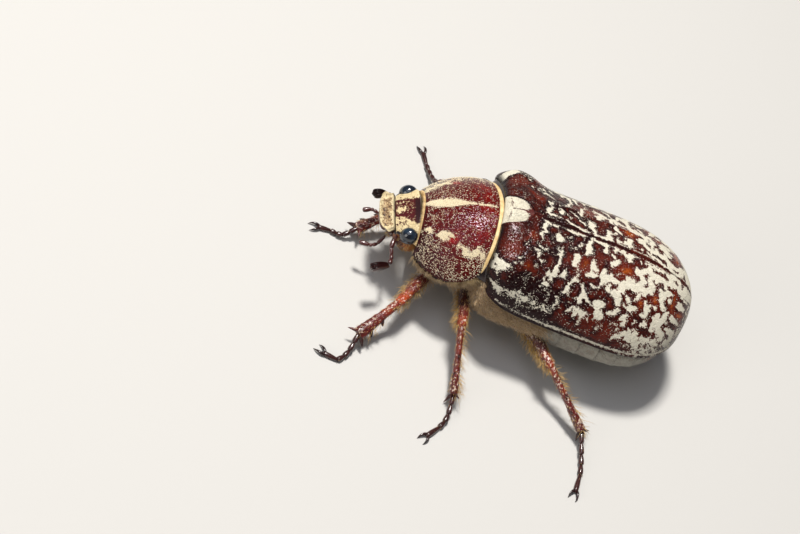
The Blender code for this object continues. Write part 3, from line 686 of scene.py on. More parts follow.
@dataclass(frozen=True)
class Finish:
    """What every finish shares: a Principled shader with its colour and bump linked."""

    name: str
    roughness: float = 0.35
    coat: float = 0.0
    coat_roughness: float = 0.1
    sheen: float = 0.0
    specular: float = 0.5
    tint: Triple = (1.0, 1.0, 1.0)
    bump: float = 0.5
    bump_mm: float = 0.03

    def start(self) -> tuple[bpy.types.Material, Tree, bpy.types.Node, bpy.types.NodeSocket]:
        """Return a new material, its tree, its shader and its Object coordinates.

        Returns:
            The material, its tree, its shader and its Object coordinates.
        """
        made = bpy.data.materials.new(self.name)
        made.use_nodes = True
        tree = Tree(made.node_tree)
        shader = made.node_tree.nodes["Principled BSDF"]
        values = {"Roughness": self.roughness, "Coat Weight": self.coat, "Coat Roughness": self.coat_roughness,
                  "Sheen Weight": self.sheen, "Specular IOR Level": self.specular}
        for label, value in values.items():
            shader.inputs[label].default_value = value
        shader.inputs["Specular Tint"].default_value = (*self.tint, 1.0)
        place = tree.add("ShaderNodeTexCoord").outputs["Object"]
        return made, tree, shader, place

    def rough_up(self, tree: Tree, shader: bpy.types.Node, height: bpy.types.NodeSocket) -> None:
        """Link a height to the shader's normal through a Bump node.

        Args:
            tree: the material's tree.
            shader: the shader.
            height: the height.
        """
        node = tree.add("ShaderNodeBump", {"Strength": self.bump, "Distance": self.bump_mm * MM,
                                           "Height": height})
        tree.link(node.outputs["Normal"], shader, "Normal")


@dataclass(frozen=True)
class ShellFinish(Finish):
    """Glossy shell whose colour drifts between dark and light tones, with scale patches on it."""

    dark: Triple = (0.03, 0.004, 0.003)
    middle: Triple = (0.12, 0.012, 0.006)
    light: Triple = (0.30, 0.06, 0.012)
    scales: Triple = (0.80, 0.74, 0.58)
    edge: Triple = (0.006, 0.005, 0.006)
    ragged: float = 0.5
    pits_per_mm: float = 6.0

    def material(self) -> bpy.types.Material:
        """Build the material. It reads the marks tone, patch and rim that its piece keeps.

        Returns:
            The material.
        """
        made, tree, shader, place = self.start()
        drift = tree.noise(place, 0.9)
        tone = tree.math("ADD", tree.mark("tone"), tree.math("MULTIPLY", tree.math("SUBTRACT", drift, 0.5), 0.5))
        ground = tree.mix(tree.between(tone, 0.0, 0.5), self.dark, self.middle)
        ground = tree.mix(tree.between(tone, 0.5, 1.0), ground, self.light)
        ground = tree.mix(tree.between(tree.noise(place, 7.0, 2.0), 0.42, 0.7), ground,
                          tree.mix(0.55, ground, (0.0, 0.0, 0.0)))
        patch = tree.add("ShaderNodeGroup", node_tree=RAGGED)
        tree.link(tree.mark("patch"), patch, "Field")
        tree.link(place, patch, "Place")
        patch.inputs["Ragged"].default_value = self.ragged
        mask = patch.outputs["Mask"]
        pale = tree.mix(tree.between(tree.noise(place, 12.0, 1.0), 0.35, 0.65), self.scales,
                        tuple(0.72 * c for c in self.scales))
        colour = tree.mix(mask, ground, pale)
        # The rim mark paints the near-black edge colour: real dark rims, grooves and seams, and on the head's rear
        # strip painted shade
        colour = tree.mix(tree.mark("rim"), colour, self.edge)
        tree.link(colour, shader, "Base Color")
        dull = tree.math("ADD", self.roughness, tree.math("MULTIPLY", mask, 0.45))
        tree.link(dull, shader, "Roughness")
        cover = tree.math("MULTIPLY", tree.math("SUBTRACT", 1.0, mask), self.coat)
        tree.link(cover, shader, "Coat Weight")
        pits = tree.add("ShaderNodeGroup", {"Place": place, "Per Metre": self.pits_per_mm / MM},
                        node_tree=PITTED)
        self.rough_up(tree, shader, pits.outputs["Height"])
        return made


@dataclass(frozen=True)
class CoatFinish(Finish):
    """Scales, pile or hair whose colour drifts between two tones."""

    sheen: float = 0.1
    bump: float = 0.2
    bump_mm: float = 0.01
    one: Triple = (0.84, 0.78, 0.62)
    other: Triple = (0.70, 0.60, 0.40)
    per_mm: float = 1.5

    def material(self) -> bpy.types.Material:
        """Build the material from slow and fine noise on the piece's own coordinates.

        Returns:
            The material.
        """
        made, tree, shader, place = self.start()
        slow, fine = tree.noise(place, self.per_mm), tree.noise(place, self.per_mm * 9, 1.0)
        share = tree.between(tree.math("ADD", tree.math("MULTIPLY", slow, 0.55),
                                       tree.math("MULTIPLY", fine, 0.45)), 0.35, 0.65)
        tree.link(tree.mix(share, self.one, self.other), shader, "Base Color")
        self.rough_up(tree, shader, tree.noise(place, self.per_mm * 12, 2.0))
        return made


@dataclass(frozen=True)
class HideFinish(Finish):
    """The skin under the pile: tan at the breast, grey-white at the belly, with dark seams."""

    tan: Triple = (0.36, 0.24, 0.13)
    pale: Triple = (0.38, 0.36, 0.30)
    seam: Triple = (0.07, 0.05, 0.04)
    cloudy: Triple = (0.20, 0.15, 0.11)
    speck: Triple = (0.1, 0.07, 0.05)
    plate: tuple[Triple, Triple] = ((0.10, 0.035, 0.02), (0.20, 0.10, 0.06))

    def material(self) -> bpy.types.Material:
        """Build the material. It reads the marks belly, plate and seam that its piece keeps.

        Returns:
            The material.
        """
        made, tree, shader, place = self.start()
        fine = tree.between(tree.noise(place, 9.0, 2.0), 0.3, 0.7)
        cloud = tree.between(tree.noise(place, 1.6, 4.0), 0.42, 0.62)
        pale = tree.mix(tree.math("MULTIPLY", cloud, 0.55), self.pale, self.cloudy)
        colour = tree.mix(tree.mark("belly"), self.tan, pale)
        colour = tree.mix(tree.math("MULTIPLY", fine, 0.45), colour, tree.mix(0.5, colour, self.speck))
        colour = tree.mix(tree.mark("plate"), colour, tree.mix(cloud, *self.plate))
        colour = tree.mix(tree.mark("seam"), colour, self.seam)
        tree.link(colour, shader, "Base Color")
        self.rough_up(tree, shader, tree.noise(place, 14.0, 3.0))
        return made


@dataclass(frozen=True)
class EyeFinish(Finish):
    """A glossy blue-black eye of many tiny facets."""

    deep: Triple = (0.003, 0.004, 0.008)
    glow: Triple = (0.010, 0.022, 0.040)
    facets_per_mm: float = 22.0

    def material(self) -> bpy.types.Material:
        """Build the material, with six-sided facets from a Voronoi texture.

        Returns:
            The material.
        """
        made, tree, shader, place = self.start()
        facets = tree.add("ShaderNodeTexVoronoi", {"Vector": place, "Scale": self.facets_per_mm / MM,
                                                   "Randomness": 0.3})
        cloud = tree.between(tree.noise(place, 1.2), 0.35, 0.65)
        tree.link(tree.mix(cloud, self.deep, self.glow), shader, "Base Color")
        self.rough_up(tree, shader, tree.math("SUBTRACT", 1.0, facets.outputs["Distance"]))
        return made


class Finishes:
    """Every material of the beetle, built once."""

    def __init__(self) -> None:
        """Build the materials."""
        self.cover = ShellFinish("wing_cover_shell", 0.17, 0.0, 0.2, specular=0.22, tint=(1.0, 0.86, 0.93),
                                 bump=1.0, bump_mm=0.09, pits_per_mm=5.0,
                                 dark=(0.012, 0.002, 0.002), middle=(0.112, 0.013, 0.005),
                                 light=(0.40, 0.085, 0.010), scales=(0.70, 0.655, 0.535), ragged=0.55).material()
        self.shield = ShellFinish("pronotum_shell", 0.13, 0.0, 0.2, specular=0.23, tint=(0.92, 0.82, 1.0),
                                  bump=1.0, bump_mm=0.085, pits_per_mm=5.0,
                                  dark=(0.026, 0.002, 0.002), middle=(0.088, 0.004, 0.002),
                                  light=(0.26, 0.005, 0.002), scales=(0.66, 0.56, 0.37),
                                  ragged=0.9).material()
        self.face = ShellFinish("face_shell", 0.3, 0.15, 0.25, specular=0.4, bump=0.8, bump_mm=0.03,
                                dark=(0.012, 0.003, 0.004), middle=(0.07, 0.006, 0.008),
                                light=(0.46, 0.17, 0.045), scales=(0.69, 0.56, 0.32),
                                ragged=0.9).material()
        self.snout = ShellFinish("clypeus_shell", 0.4, 0.1, 0.25, specular=0.4, bump=0.8, bump_mm=0.03,
                                 dark=(0.05, 0.020, 0.014), middle=(0.25, 0.15, 0.075),
                                 light=(0.52, 0.37, 0.20), scales=(0.67, 0.56, 0.34), ragged=0.9).material()
        self.white = ShellFinish("scutellum_shell", 0.34, 0.5, bump=0.4, bump_mm=0.02,
                                 dark=(0.02, 0.004, 0.004), middle=(0.08, 0.01, 0.008),
                                 light=(0.18, 0.03, 0.012), scales=(0.66, 0.61, 0.48),
                                 ragged=0.7).material()
        self.leg = ShellFinish("leg_shell", 0.28, 0.2, 0.2, bump=1.0, bump_mm=0.09,
                               dark=(0.024, 0.005, 0.004), middle=(0.115, 0.012, 0.009),
                               light=(0.40, 0.055, 0.014), scales=(0.66, 0.50, 0.40), ragged=0.8,
                               pits_per_mm=4.0).material()
        self.foot = ShellFinish("foot_shell", 0.25, 0.4, 0.12, bump=0.35, bump_mm=0.015,
                                dark=(0.012, 0.004, 0.004), middle=(0.05, 0.012, 0.01),
                                light=(0.15, 0.02, 0.014), pits_per_mm=7.0).material()
        self.feeler = ShellFinish("feeler_shell", 0.3, 0.6, 0.12, bump=0.35, bump_mm=0.015,
                                  dark=(0.012, 0.003, 0.003), middle=(0.06, 0.009, 0.008),
                                  light=(0.15, 0.035, 0.024), pits_per_mm=9.0).material()
        self.hide = HideFinish("breast_and_belly_skin", 0.75, sheen=0.2, bump=0.6, bump_mm=0.04).material()
        self.eye = EyeFinish("eye_facets", 0.16, 1.0, 0.04, bump=0.12, bump_mm=0.006).material()
        self.cream = CoatFinish("cream_scales", 0.62,
                                one=(0.70, 0.665, 0.56), other=(0.58, 0.53, 0.40)).material()
        self.straw = CoatFinish("straw_scales", 0.6,
                                one=(0.84, 0.75, 0.55), other=(0.74, 0.61, 0.40)).material()
        self.yellow = CoatFinish("yellow_scales", 0.6,
                                 one=(0.70, 0.575, 0.34), other=(0.57, 0.41, 0.19)).material()
        self.tan = CoatFinish("tan_fringe", 0.6,
                              one=(0.76, 0.57, 0.30), other=(0.56, 0.37, 0.15)).material()
        self.skirt = CoatFinish("skirt_hair", 0.6, sheen=0.2,
                                one=(0.64, 0.47, 0.24), other=(0.36, 0.23, 0.10)).material()
        self.gold = CoatFinish("golden_hair", 0.5, sheen=0.0,
                               one=(0.68, 0.46, 0.18), other=(0.38, 0.21, 0.06)).material()
        self.pile = CoatFinish("tan_pile", 0.7, sheen=0.3,
                               one=(0.70, 0.51, 0.29), other=(0.40, 0.26, 0.13)).material()
        self.grey = CoatFinish("grey_down", 0.7, sheen=0.3,
                               one=(0.54, 0.53, 0.46), other=(0.36, 0.34, 0.28)).material()


@dataclass(frozen=True)
class Part:
    """A sub-assembly of the beetle, dressed from one set of materials."""

    finishes: Finishes


# ---- the shield over the front of the thorax, called the pronotum


@dataclass(frozen=True)
class ShieldShape:
    """The sizes of the pronotum in mm and the surface that they give.

    Three sizes together are those at the front, half way and at the base. section holds the
    exponents of the arch across, and crown is how far the middle line swells.
    """

    front_x: float = -11.9
    base_x: float = -4.78
    half_widths: Triple = (4.15, 6.65, 6.34)
    top_z: tuple[float, float] = (9.85, 12.82)
    crown: float = 0.46
    margin_z: Triple = (6.82, 7.38, 9.05)
    section: tuple[float, float] = (1.96, 0.72)
    front_curve: float = 0.2
    base_curve: float = 0.49
    edge: float = 0.45
    turn: float = math.radians(3.8)

    def turned(self, points: Array) -> Array:
        """Turn points about the upright line through the middle of the shield's base.

        Args:
            points: the points to turn.

        Returns:
            The turned points.
        """
        x, y = points[..., 0] - self.base_x, points[..., 1]
        c, s = math.cos(self.turn), math.sin(self.turn)
        return np.stack([self.base_x + x * c - y * s, x * s + y * c, points[..., 2]], axis=-1)

    def top(self, s: Array, e: Array) -> Array:
        """Return the upper surface at s from front to base and e from left to right.

        The width and the margin's height are quadratics in s, the middle line rises from front to
        base with a crown, and each section is the arch (1 - e^a)^b between margin and middle.

        Args:
            s: how far from the front, 0, to the base, 1.
            e: how far from the left edge, -1, to the right, 1.

        Returns:
            The points, in mm.
        """
        s, e = np.broadcast_arrays(np.asarray(s, float), np.asarray(e, float))
        width = three_way(self.half_widths, s)
        front = self.front_x + self.front_curve * e ** 2
        base = self.base_x - self.base_curve * e ** 2
        crown = self.top_z[0] * (1 - s) + self.top_z[1] * s + 4 * self.crown * s * (1 - s)
        margin = three_way(self.margin_z, s)
        arch = np.clip(1 - np.abs(e) ** self.section[0], 0, 1) ** self.section[1]
        return self.turned(np.stack([front * (1 - s) + base * s, width * e,
                                     margin + (crown - margin) * arch], axis=-1))

    def base_line(self, y: Array) -> Array:
        """Return where the base edge lies in x at a place across the body."""
        across = np.clip(y / self.half_widths[2], -1.3, 1.3)
        return self.base_x - self.base_curve * across ** 2 - y * math.tan(self.turn)


SHIELD = ShieldShape()


@dataclass(frozen=True)
class Shield(Part):
    """The pronotum: its shell, its scales, and the fringes of hair along its front and base."""

    rows: int = 170
    columns: int = 280
    thick: float = 0.45
    round_edge: float = 0.22
    length: float = 7.1
    middle: tuple[float, float] = (-8.3, 0.0)
    scales_per_mm2: float = 190.0
    scales: Coat = Coat(Strand.SCALE, 0.21, 0.058, lift=0.25, stray=0.6, uneven=0.35)
    base_hairs: int = 2600
    base_hair: Coat = Coat(Strand.HAIR, 0.62, 0.05, lift=0.12, stray=0.2, uneven=0.22)
    front_hairs: int = 1500
    front_hair: Coat = Coat(Strand.HAIR, 0.30, 0.045, lift=0.15, stray=0.25)
    skirt_hairs: int = 5200
    skirt_hair: Coat = Coat(Strand.HAIR, 1.15, 0.045, lift=0.30, bend=0.8, stray=0.30, uneven=0.35)

    def outline(self) -> tuple[Array, Array]:
        """Return s and e of the grid, closer together near the edges."""
        s = 0.5 - 0.5 * np.cos(np.linspace(0, np.pi, self.rows))
        return np.meshgrid(s, arc(-1, 1, self.columns), indexing="ij")

    @staticmethod
    def patch(s: Array, e: Array, place: Array) -> Array:
        """Return the field of the scale patches, in millimetres inside their edges.

        A wedge along the middle line narrows to the base; two rows of patches lie at each side,
        and broken bands follow the outer edges.

        Args:
            s: how far from the front, 0, to the base, 1.
            e: how far from the left edge, -1, to the right, 1.
            place: the places in mm.

        Returns:
            The field, positive inside a patch.
        """
        grain = Grain(11)
        rough = grain.rough(place, 0.55) - 0.5
        fine = grain.rough(place + 31.0, 0.22) - 0.5
        stripe_half = smooth(((0, 0.30), (0.08, 0.55), (0.3, 0.62), (0.45, 0.42), (0.6, 0.17), (0.92, 0.10),
                              (1, 0.0)))(s)
        stripe = stripe_half - np.abs(e - 0.035) * 6.4 + 0.25 * fine
        field_value = np.where(s < 0.95, stripe, -1)
        spots = ((0.10, -0.58, 0.10, 0.045), (0.29, -0.57, 0.10, 0.065), (0.37, -0.53, 0.06, 0.045),
                 (0.62, -0.68, 0.13, 0.050), (0.80, -0.72, 0.13, 0.065), (0.91, -0.79, 0.05, 0.06),
                 (0.08, 0.60, 0.12, 0.09), (0.26, 0.66, 0.14, 0.075), (0.42, 0.72, 0.10, 0.05),
                 (0.62, 0.88, 0.20, 0.025), (0.85, 0.89, 0.14, 0.03))
        for at, side, long, wide in spots:
            reach = np.sqrt(((s - at) / long) ** 2 + ((e - side) / wide) ** 2)
            field_value = np.maximum(field_value, (1 - reach) * wide * 6.4 + 0.9 * rough + 0.9 * fine - 0.08)
        return field_value

    @staticmethod
    def speckle(s: Array, e: Array, place: Array) -> Array:
        """Return how thickly scales are sprinkled outside the patches.

        It grows to the sides and edges with noise, and bells leave bare spots in it.

        Args:
            s: how far from the front, 0, to the base, 1.
            e: how far from the left edge, -1, to the right, 1.
            place: the places in mm.

        Returns:
            The thickness, 1 where it is ordinary.
        """
        side = step_between(0.55, 0.85, np.abs(e))
        bare = bell(s, 0.40, 0.07) * bell(np.abs(e), 0.60, 0.08) + bell(s, 0.33, 0.05) * bell(np.abs(e), 0.82, 0.04)
        cloud = Grain(12).rough(place, 0.9)
        edges = bell(s, 0.02, 0.12) + bell(np.abs(e), 0.22, 0.14) * bell(s, 0.25, 0.25)
        open_ground = 0.70 + 1.2 * (cloud - 0.5)
        full = open_ground + 2.6 * side * (0.3 + cloud) + 1.1 * edges
        return np.clip(full * (1 - 0.9 * np.clip(bare, 0, 1)), 0, 4)

    def shell(self) -> Skin:
        """Make the shell with rounded edges, and return its skin.

        The outer wall is the shape's upper surface, let down near its edges along a quarter circle,
        and the inner wall lies one thickness below. The tone and the rim are sums of bells.

        Returns:
            The skin that the scales grow on.
        """
        s, e = self.outline()
        outer = SHIELD.top(s, e)
        width = three_way(SHIELD.half_widths, s)
        near = np.minimum(np.minimum(s, 1 - s) * self.length, (1 - np.abs(e)) * width * 3.0)
        radius = self.round_edge
        dip = radius - np.sqrt(np.clip(radius ** 2 - np.clip(radius - near, 0, None) ** 2, 0, None))
        outer = outer - UP * dip[..., None]
        inner = outer.copy()
        inner[..., :2] = outer[..., :2] + (np.array(self.middle) - outer[..., :2]) * 0.02
        inner[..., 2] = np.minimum(outer[..., 2] - self.thick, outer[..., 2] - self.thick + dip)
        field_value = self.patch(s, e, outer)
        tone = 0.50 - 0.22 * step_between(0.45, 0.9, np.abs(e)) - 0.22 * bell(s, 0, 0.22) + 0.14 * bell(s, 0.8, 0.25)
        tone = tone + 0.5 * bell(s, 0.42, 0.09) * bell(np.abs(e), 0.60, 0.07)
        rim = 0.8 * bell((1 - s) * self.length, 0.02, 0.10) + 0.15 * bell(near, 0.0, 0.05)
        marks = {"patch": np.clip(0.5 + (field_value - 0.05) / 0.5, 0, 1), "tone": tone,
                 "rim": np.clip(rim, 0, 1)}
        place_mesh("pronotum_shell", slab(outer, inner, marks), self.finishes.shield, ("pronotum",))
        return Skin(outer, inward=faces_down(outer, self.rows // 2, self.columns // 2))

    def dress(self, skin: Skin) -> None:
        """Grow the scales over the shell, thick in the patches and sparse between them.

        Args:
            skin: the skin that they grow on.
        """
        roots = skin.scatter(self.scales_per_mm2, 21)
        s, e = self.where(roots)
        value = self.patch(s, e, roots.place)
        chance = np.where(value > 0.03, 0.9, 0.105 * self.speckle(s, e, roots.place)
                          + 0.5 * step_between(-0.16, 0.03, value))
        near = np.minimum(s, 1 - s) * self.length
        keep = (np.random.default_rng(22).random(len(roots)) < chance) & (near > 0.12) & (np.abs(e) < 0.998)
        roots, e = roots.take(keep), e[keep]
        lie = TAILWARDS + 0.25 * np.sign(e)[:, None] * np.array((0, 1, 0))
        place_mesh("pronotum_scales", self.scales.grow(roots, lie, 23), self.finishes.straw)

    @staticmethod
    def where(roots: Roots) -> tuple[Array, Array]:
        """Return s and e of roots, read back from their share of the grid."""
        return 0.5 - 0.5 * np.cos(np.pi * roots.uv[:, 0]), np.sin(np.pi * (roots.uv[:, 1] - 0.5))

    def fringe(self) -> None:
        """Lay a smooth band of cream hair along the base and a thin one along the front.

        The band is an ellipse carried along the base edge, and single hairs start at random places
        of each edge, pointing the way in which the surface runs out there.
        """
        e = arc(-1, 1, 260) * 0.995
        base = SHIELD.top(1.0, e)
        ahead = unit(base - SHIELD.top(0.97, e))
        middle = base + ahead * 0.22 - UP * 0.24
        halves = np.stack([0.24 + 0.06 * e * e + 0.06 * bell(e, 0, 0.25), np.full_like(e, 0.16)], axis=1)
        halves *= (1 - np.abs(e) ** 12)[:, None] * 0.85 + 0.15
        band = tube(tube_rings(middle, ahead, halves, 12))
        place_mesh("pronotum_base_band", band, self.finishes.tan)
        rng = np.random.default_rng(31)
        count = self.base_hairs
        at = rng.uniform(-0.99, 0.99, count)
        edge = SHIELD.top(1.0, at)
        back = unit(edge - SHIELD.top(0.97, at))
        lift = unit(UP + 0.4 * back)
        root = edge - UP * (0.16 + 0.1 * rng.random((count, 1))) - back * 0.1 * rng.random((count, 1))
        uv = np.stack([np.full(count, 0.9), 0.5 + at / 2], axis=1)
        roots = Roots(root, lift, back, unit(np.cross(lift, back)), uv)
        base_hair = self.base_hair.grow(roots, back - UP * 0.2, 32, 1 + 0.45 * bell(at, 0.0, 0.28))
        count = self.front_hairs
        at = rng.uniform(-0.90, 0.90, count)
        edge = SHIELD.top(0.0, at)
        fore = unit(edge - SHIELD.top(0.03, at))
        lift = unit(UP + 0.5 * fore)
        root = edge - UP * (0.14 + 0.12 * rng.random((count, 1)))
        uv = np.stack([np.full(count, 0.1), 0.5 + at / 2], axis=1)
        roots = Roots(root, lift, fore, unit(np.cross(lift, fore)), uv)
        front_hair = self.front_hair.grow(roots, fore - UP * 0.3, 33, 1 + 1.5 * at ** 2)
        place_mesh("pronotum_fringes", joined((base_hair, front_hair)), self.finishes.tan)
        self.skirt()

    def skirt(self) -> None:
        """Hang uneven golden hair below the outer edges, thickest over the roots of the legs.

        The roots lie at random a little under and inside the edge, where a slow noise lets them.
        """
        rng = np.random.default_rng(34)
        count = self.skirt_hairs
        s, side = rng.uniform(0.02, 0.99, count), rng.choice((-1.0, 1.0), count)
        edge = SHIELD.top(s, side * 0.985)
        out = unit(SHIELD.top(s, side * 1.0) - SHIELD.top(s, side * 0.9))
        out = unit(out * (1, 1, 0))
        edge = edge - UP * (0.24 + 0.35 * rng.random((count, 1))) - out * 0.5 * rng.random((count, 1))
        clump = Grain(35).value(np.stack([s * 7, side, 0 * s], axis=1), 0.45)
        keep = clump > 0.30
        uv = np.stack([0.05 + 0.9 * s, 0.5 + 0.47 * side], axis=1)
        back = np.broadcast_to((1.0, 0.0, 0.0), edge.shape)
        roots = Roots(edge, out, back, np.cross(out, back), uv).take(keep)
        lie = back * 0.35 - UP + 1.4 * (clump[:, None] - 0.5) * back
        grown = self.skirt_hair.grow(roots, lie[keep], 36, 0.5 + clump[keep])
        place_mesh("pronotum_skirt", grown, self.finishes.skirt)

    def make(self) -> None:
        """Make the shell, its scales and its fringes."""
        self.dress(self.shell())
        self.fringe()


# ---- the wing covers and the small plate between them


@dataclass(frozen=True)
class CoverShape:
    """The sizes of the wing covers in mm and the surface that they give.

    bluntness, powers and section are the exponents of the outline, of the fall to the apex and of
    the arch across. neck holds the half width and the height at the front, and how far back the
    front rolls over. The bump is the shoulder's, at an x and a share of the way across.
    """

    apex_x: float = 19.2
    half_width: float = 8.58
    widest_x: float = 7.4
    front_narrowing: float = 0.05
    bluntness: float = 3.43
    top_z: float = 14.14
    falls_from_x: float = 4.9
    powers: tuple[float, float] = (3.2, 2.69)
    margin_z: float = 7.7
    shoulder_rise: float = 1.05
    section: tuple[float, float] = (2.05, 0.62)
    neck: Triple = (6.9, 12.95, 2.4)
    seam_half_gap: float = 0.03
    bump: float = 0.7
    bump_at: tuple[float, float] = (-2.5, 0.75)
    bump_spread: tuple[float, float] = (2.2, 0.25)
    plate_half: float = 1.85
    plate_tip_x: float = -1.5

    def width(self, x: Array, inset: float = 0.0) -> Array:
        """Return half the width across the covers at x, a blunt curve that closes at the apex.

        Args:
            x: how far along the body, in mm.
            inset: how far inside the surface, in mm.

        Returns:
            Half the width in mm.
        """
        past = np.clip((x - self.widest_x) / (self.apex_x - inset - self.widest_x), 0, 1)
        before = np.clip((self.widest_x - x) / (self.widest_x - SHIELD.base_x), 0, None)
        wide = (self.half_width - inset) * (1 - self.front_narrowing * before ** 2)
        return wide * np.sqrt(np.clip(1 - past ** self.bluntness, 0, 1))

    def margin(self, x: Array) -> Array:
        """Return the height of the outer edge at x, which rises towards the shoulder."""
        return self.margin_z + self.shoulder_rise * np.clip((1.0 - x) / 5.8, 0, None) ** 2

    def top(self, x: Array, inset: float = 0.0) -> Array:
        """Return the height along the seam at x, level and then falling to the apex.

        Args:
            x: how far along the body, in mm.
            inset: how far inside the surface, in mm.

        Returns:
            The height in mm.
        """
        past = np.clip((x - self.falls_from_x) / (self.apex_x - inset - self.falls_from_x), 0, 1)
        low = self.margin(x)
        return low + (self.top_z - inset - low) * (1 - past ** self.powers[0]) ** (1 / self.powers[1])

    def arch(self, e: Array) -> Array:
        """Return the height share of a section at e from the seam to the edge."""
        return np.clip(1 - np.abs(e) ** self.section[0], 0, 1) ** self.section[1]

    def plate_width(self, x: Array) -> Array:
        """Return half the width of the scutellum at x, nought behind its tip."""
        share = np.clip((x - SHIELD.base_x) / (self.plate_tip_x - SHIELD.base_x), 0, 1)
        return self.plate_half * np.sqrt(1 - share ** 2.4)

    def start(self, e: Array, side: int) -> Array:
        """Return where a cover begins in x at e across, behind the pronotum's base."""
        return SHIELD.base_line(side * self.neck[0] * e) + GAP + 1.0 * np.clip((e - 0.7) / 0.3, 0, 1) ** 2

    def place(self, x: Array, e: Array, side: int) -> Array:
        """Return a place on the outer surface at x and at e across, for side -1 or 1.

        Each section is the arch between the margin and the seam's height; the front rolls down
        to a neck, and a bell-shaped bump is added at the shoulder.

        Args:
            x: how far along the body, in mm.
            e: how far from the seam, 0, to the outer edge, 1.
            side: -1 for the left, 1 for the right.

        Returns:
            The points, in mm.
        """
        roll = np.clip((x - self.start(e, side)) / self.neck[2], 0, 1)
        roll = np.sqrt(1 - (1 - roll) ** 2)
        width = self.neck[0] + (self.width(x) - self.neck[0]) * roll
        top = self.neck[1] + (self.top(x) - self.neck[1]) * roll
        width = np.where(x > 0, self.width(x), width)
        low = self.margin(x)
        plate = self.plate_width(x)
        inner = np.where(plate > 0.02, plate + 0.06, self.seam_half_gap)
        y = inner + (width - inner) * e
        z = low + (top - low) * self.arch(y / np.maximum(width, 1e-6))
        bump = self.bump * np.exp(-((x - self.bump_at[0]) / self.bump_spread[0]) ** 2
                                  - ((e - self.bump_at[1]) / self.bump_spread[1]) ** 2)
        return np.stack([x, side * (y + bump * 0.5), z + bump * roll], axis=-1)


COVER = CoverShape()

# The millimetres that a share of one stands for in the strokes below
SHARE_MM = 9.6
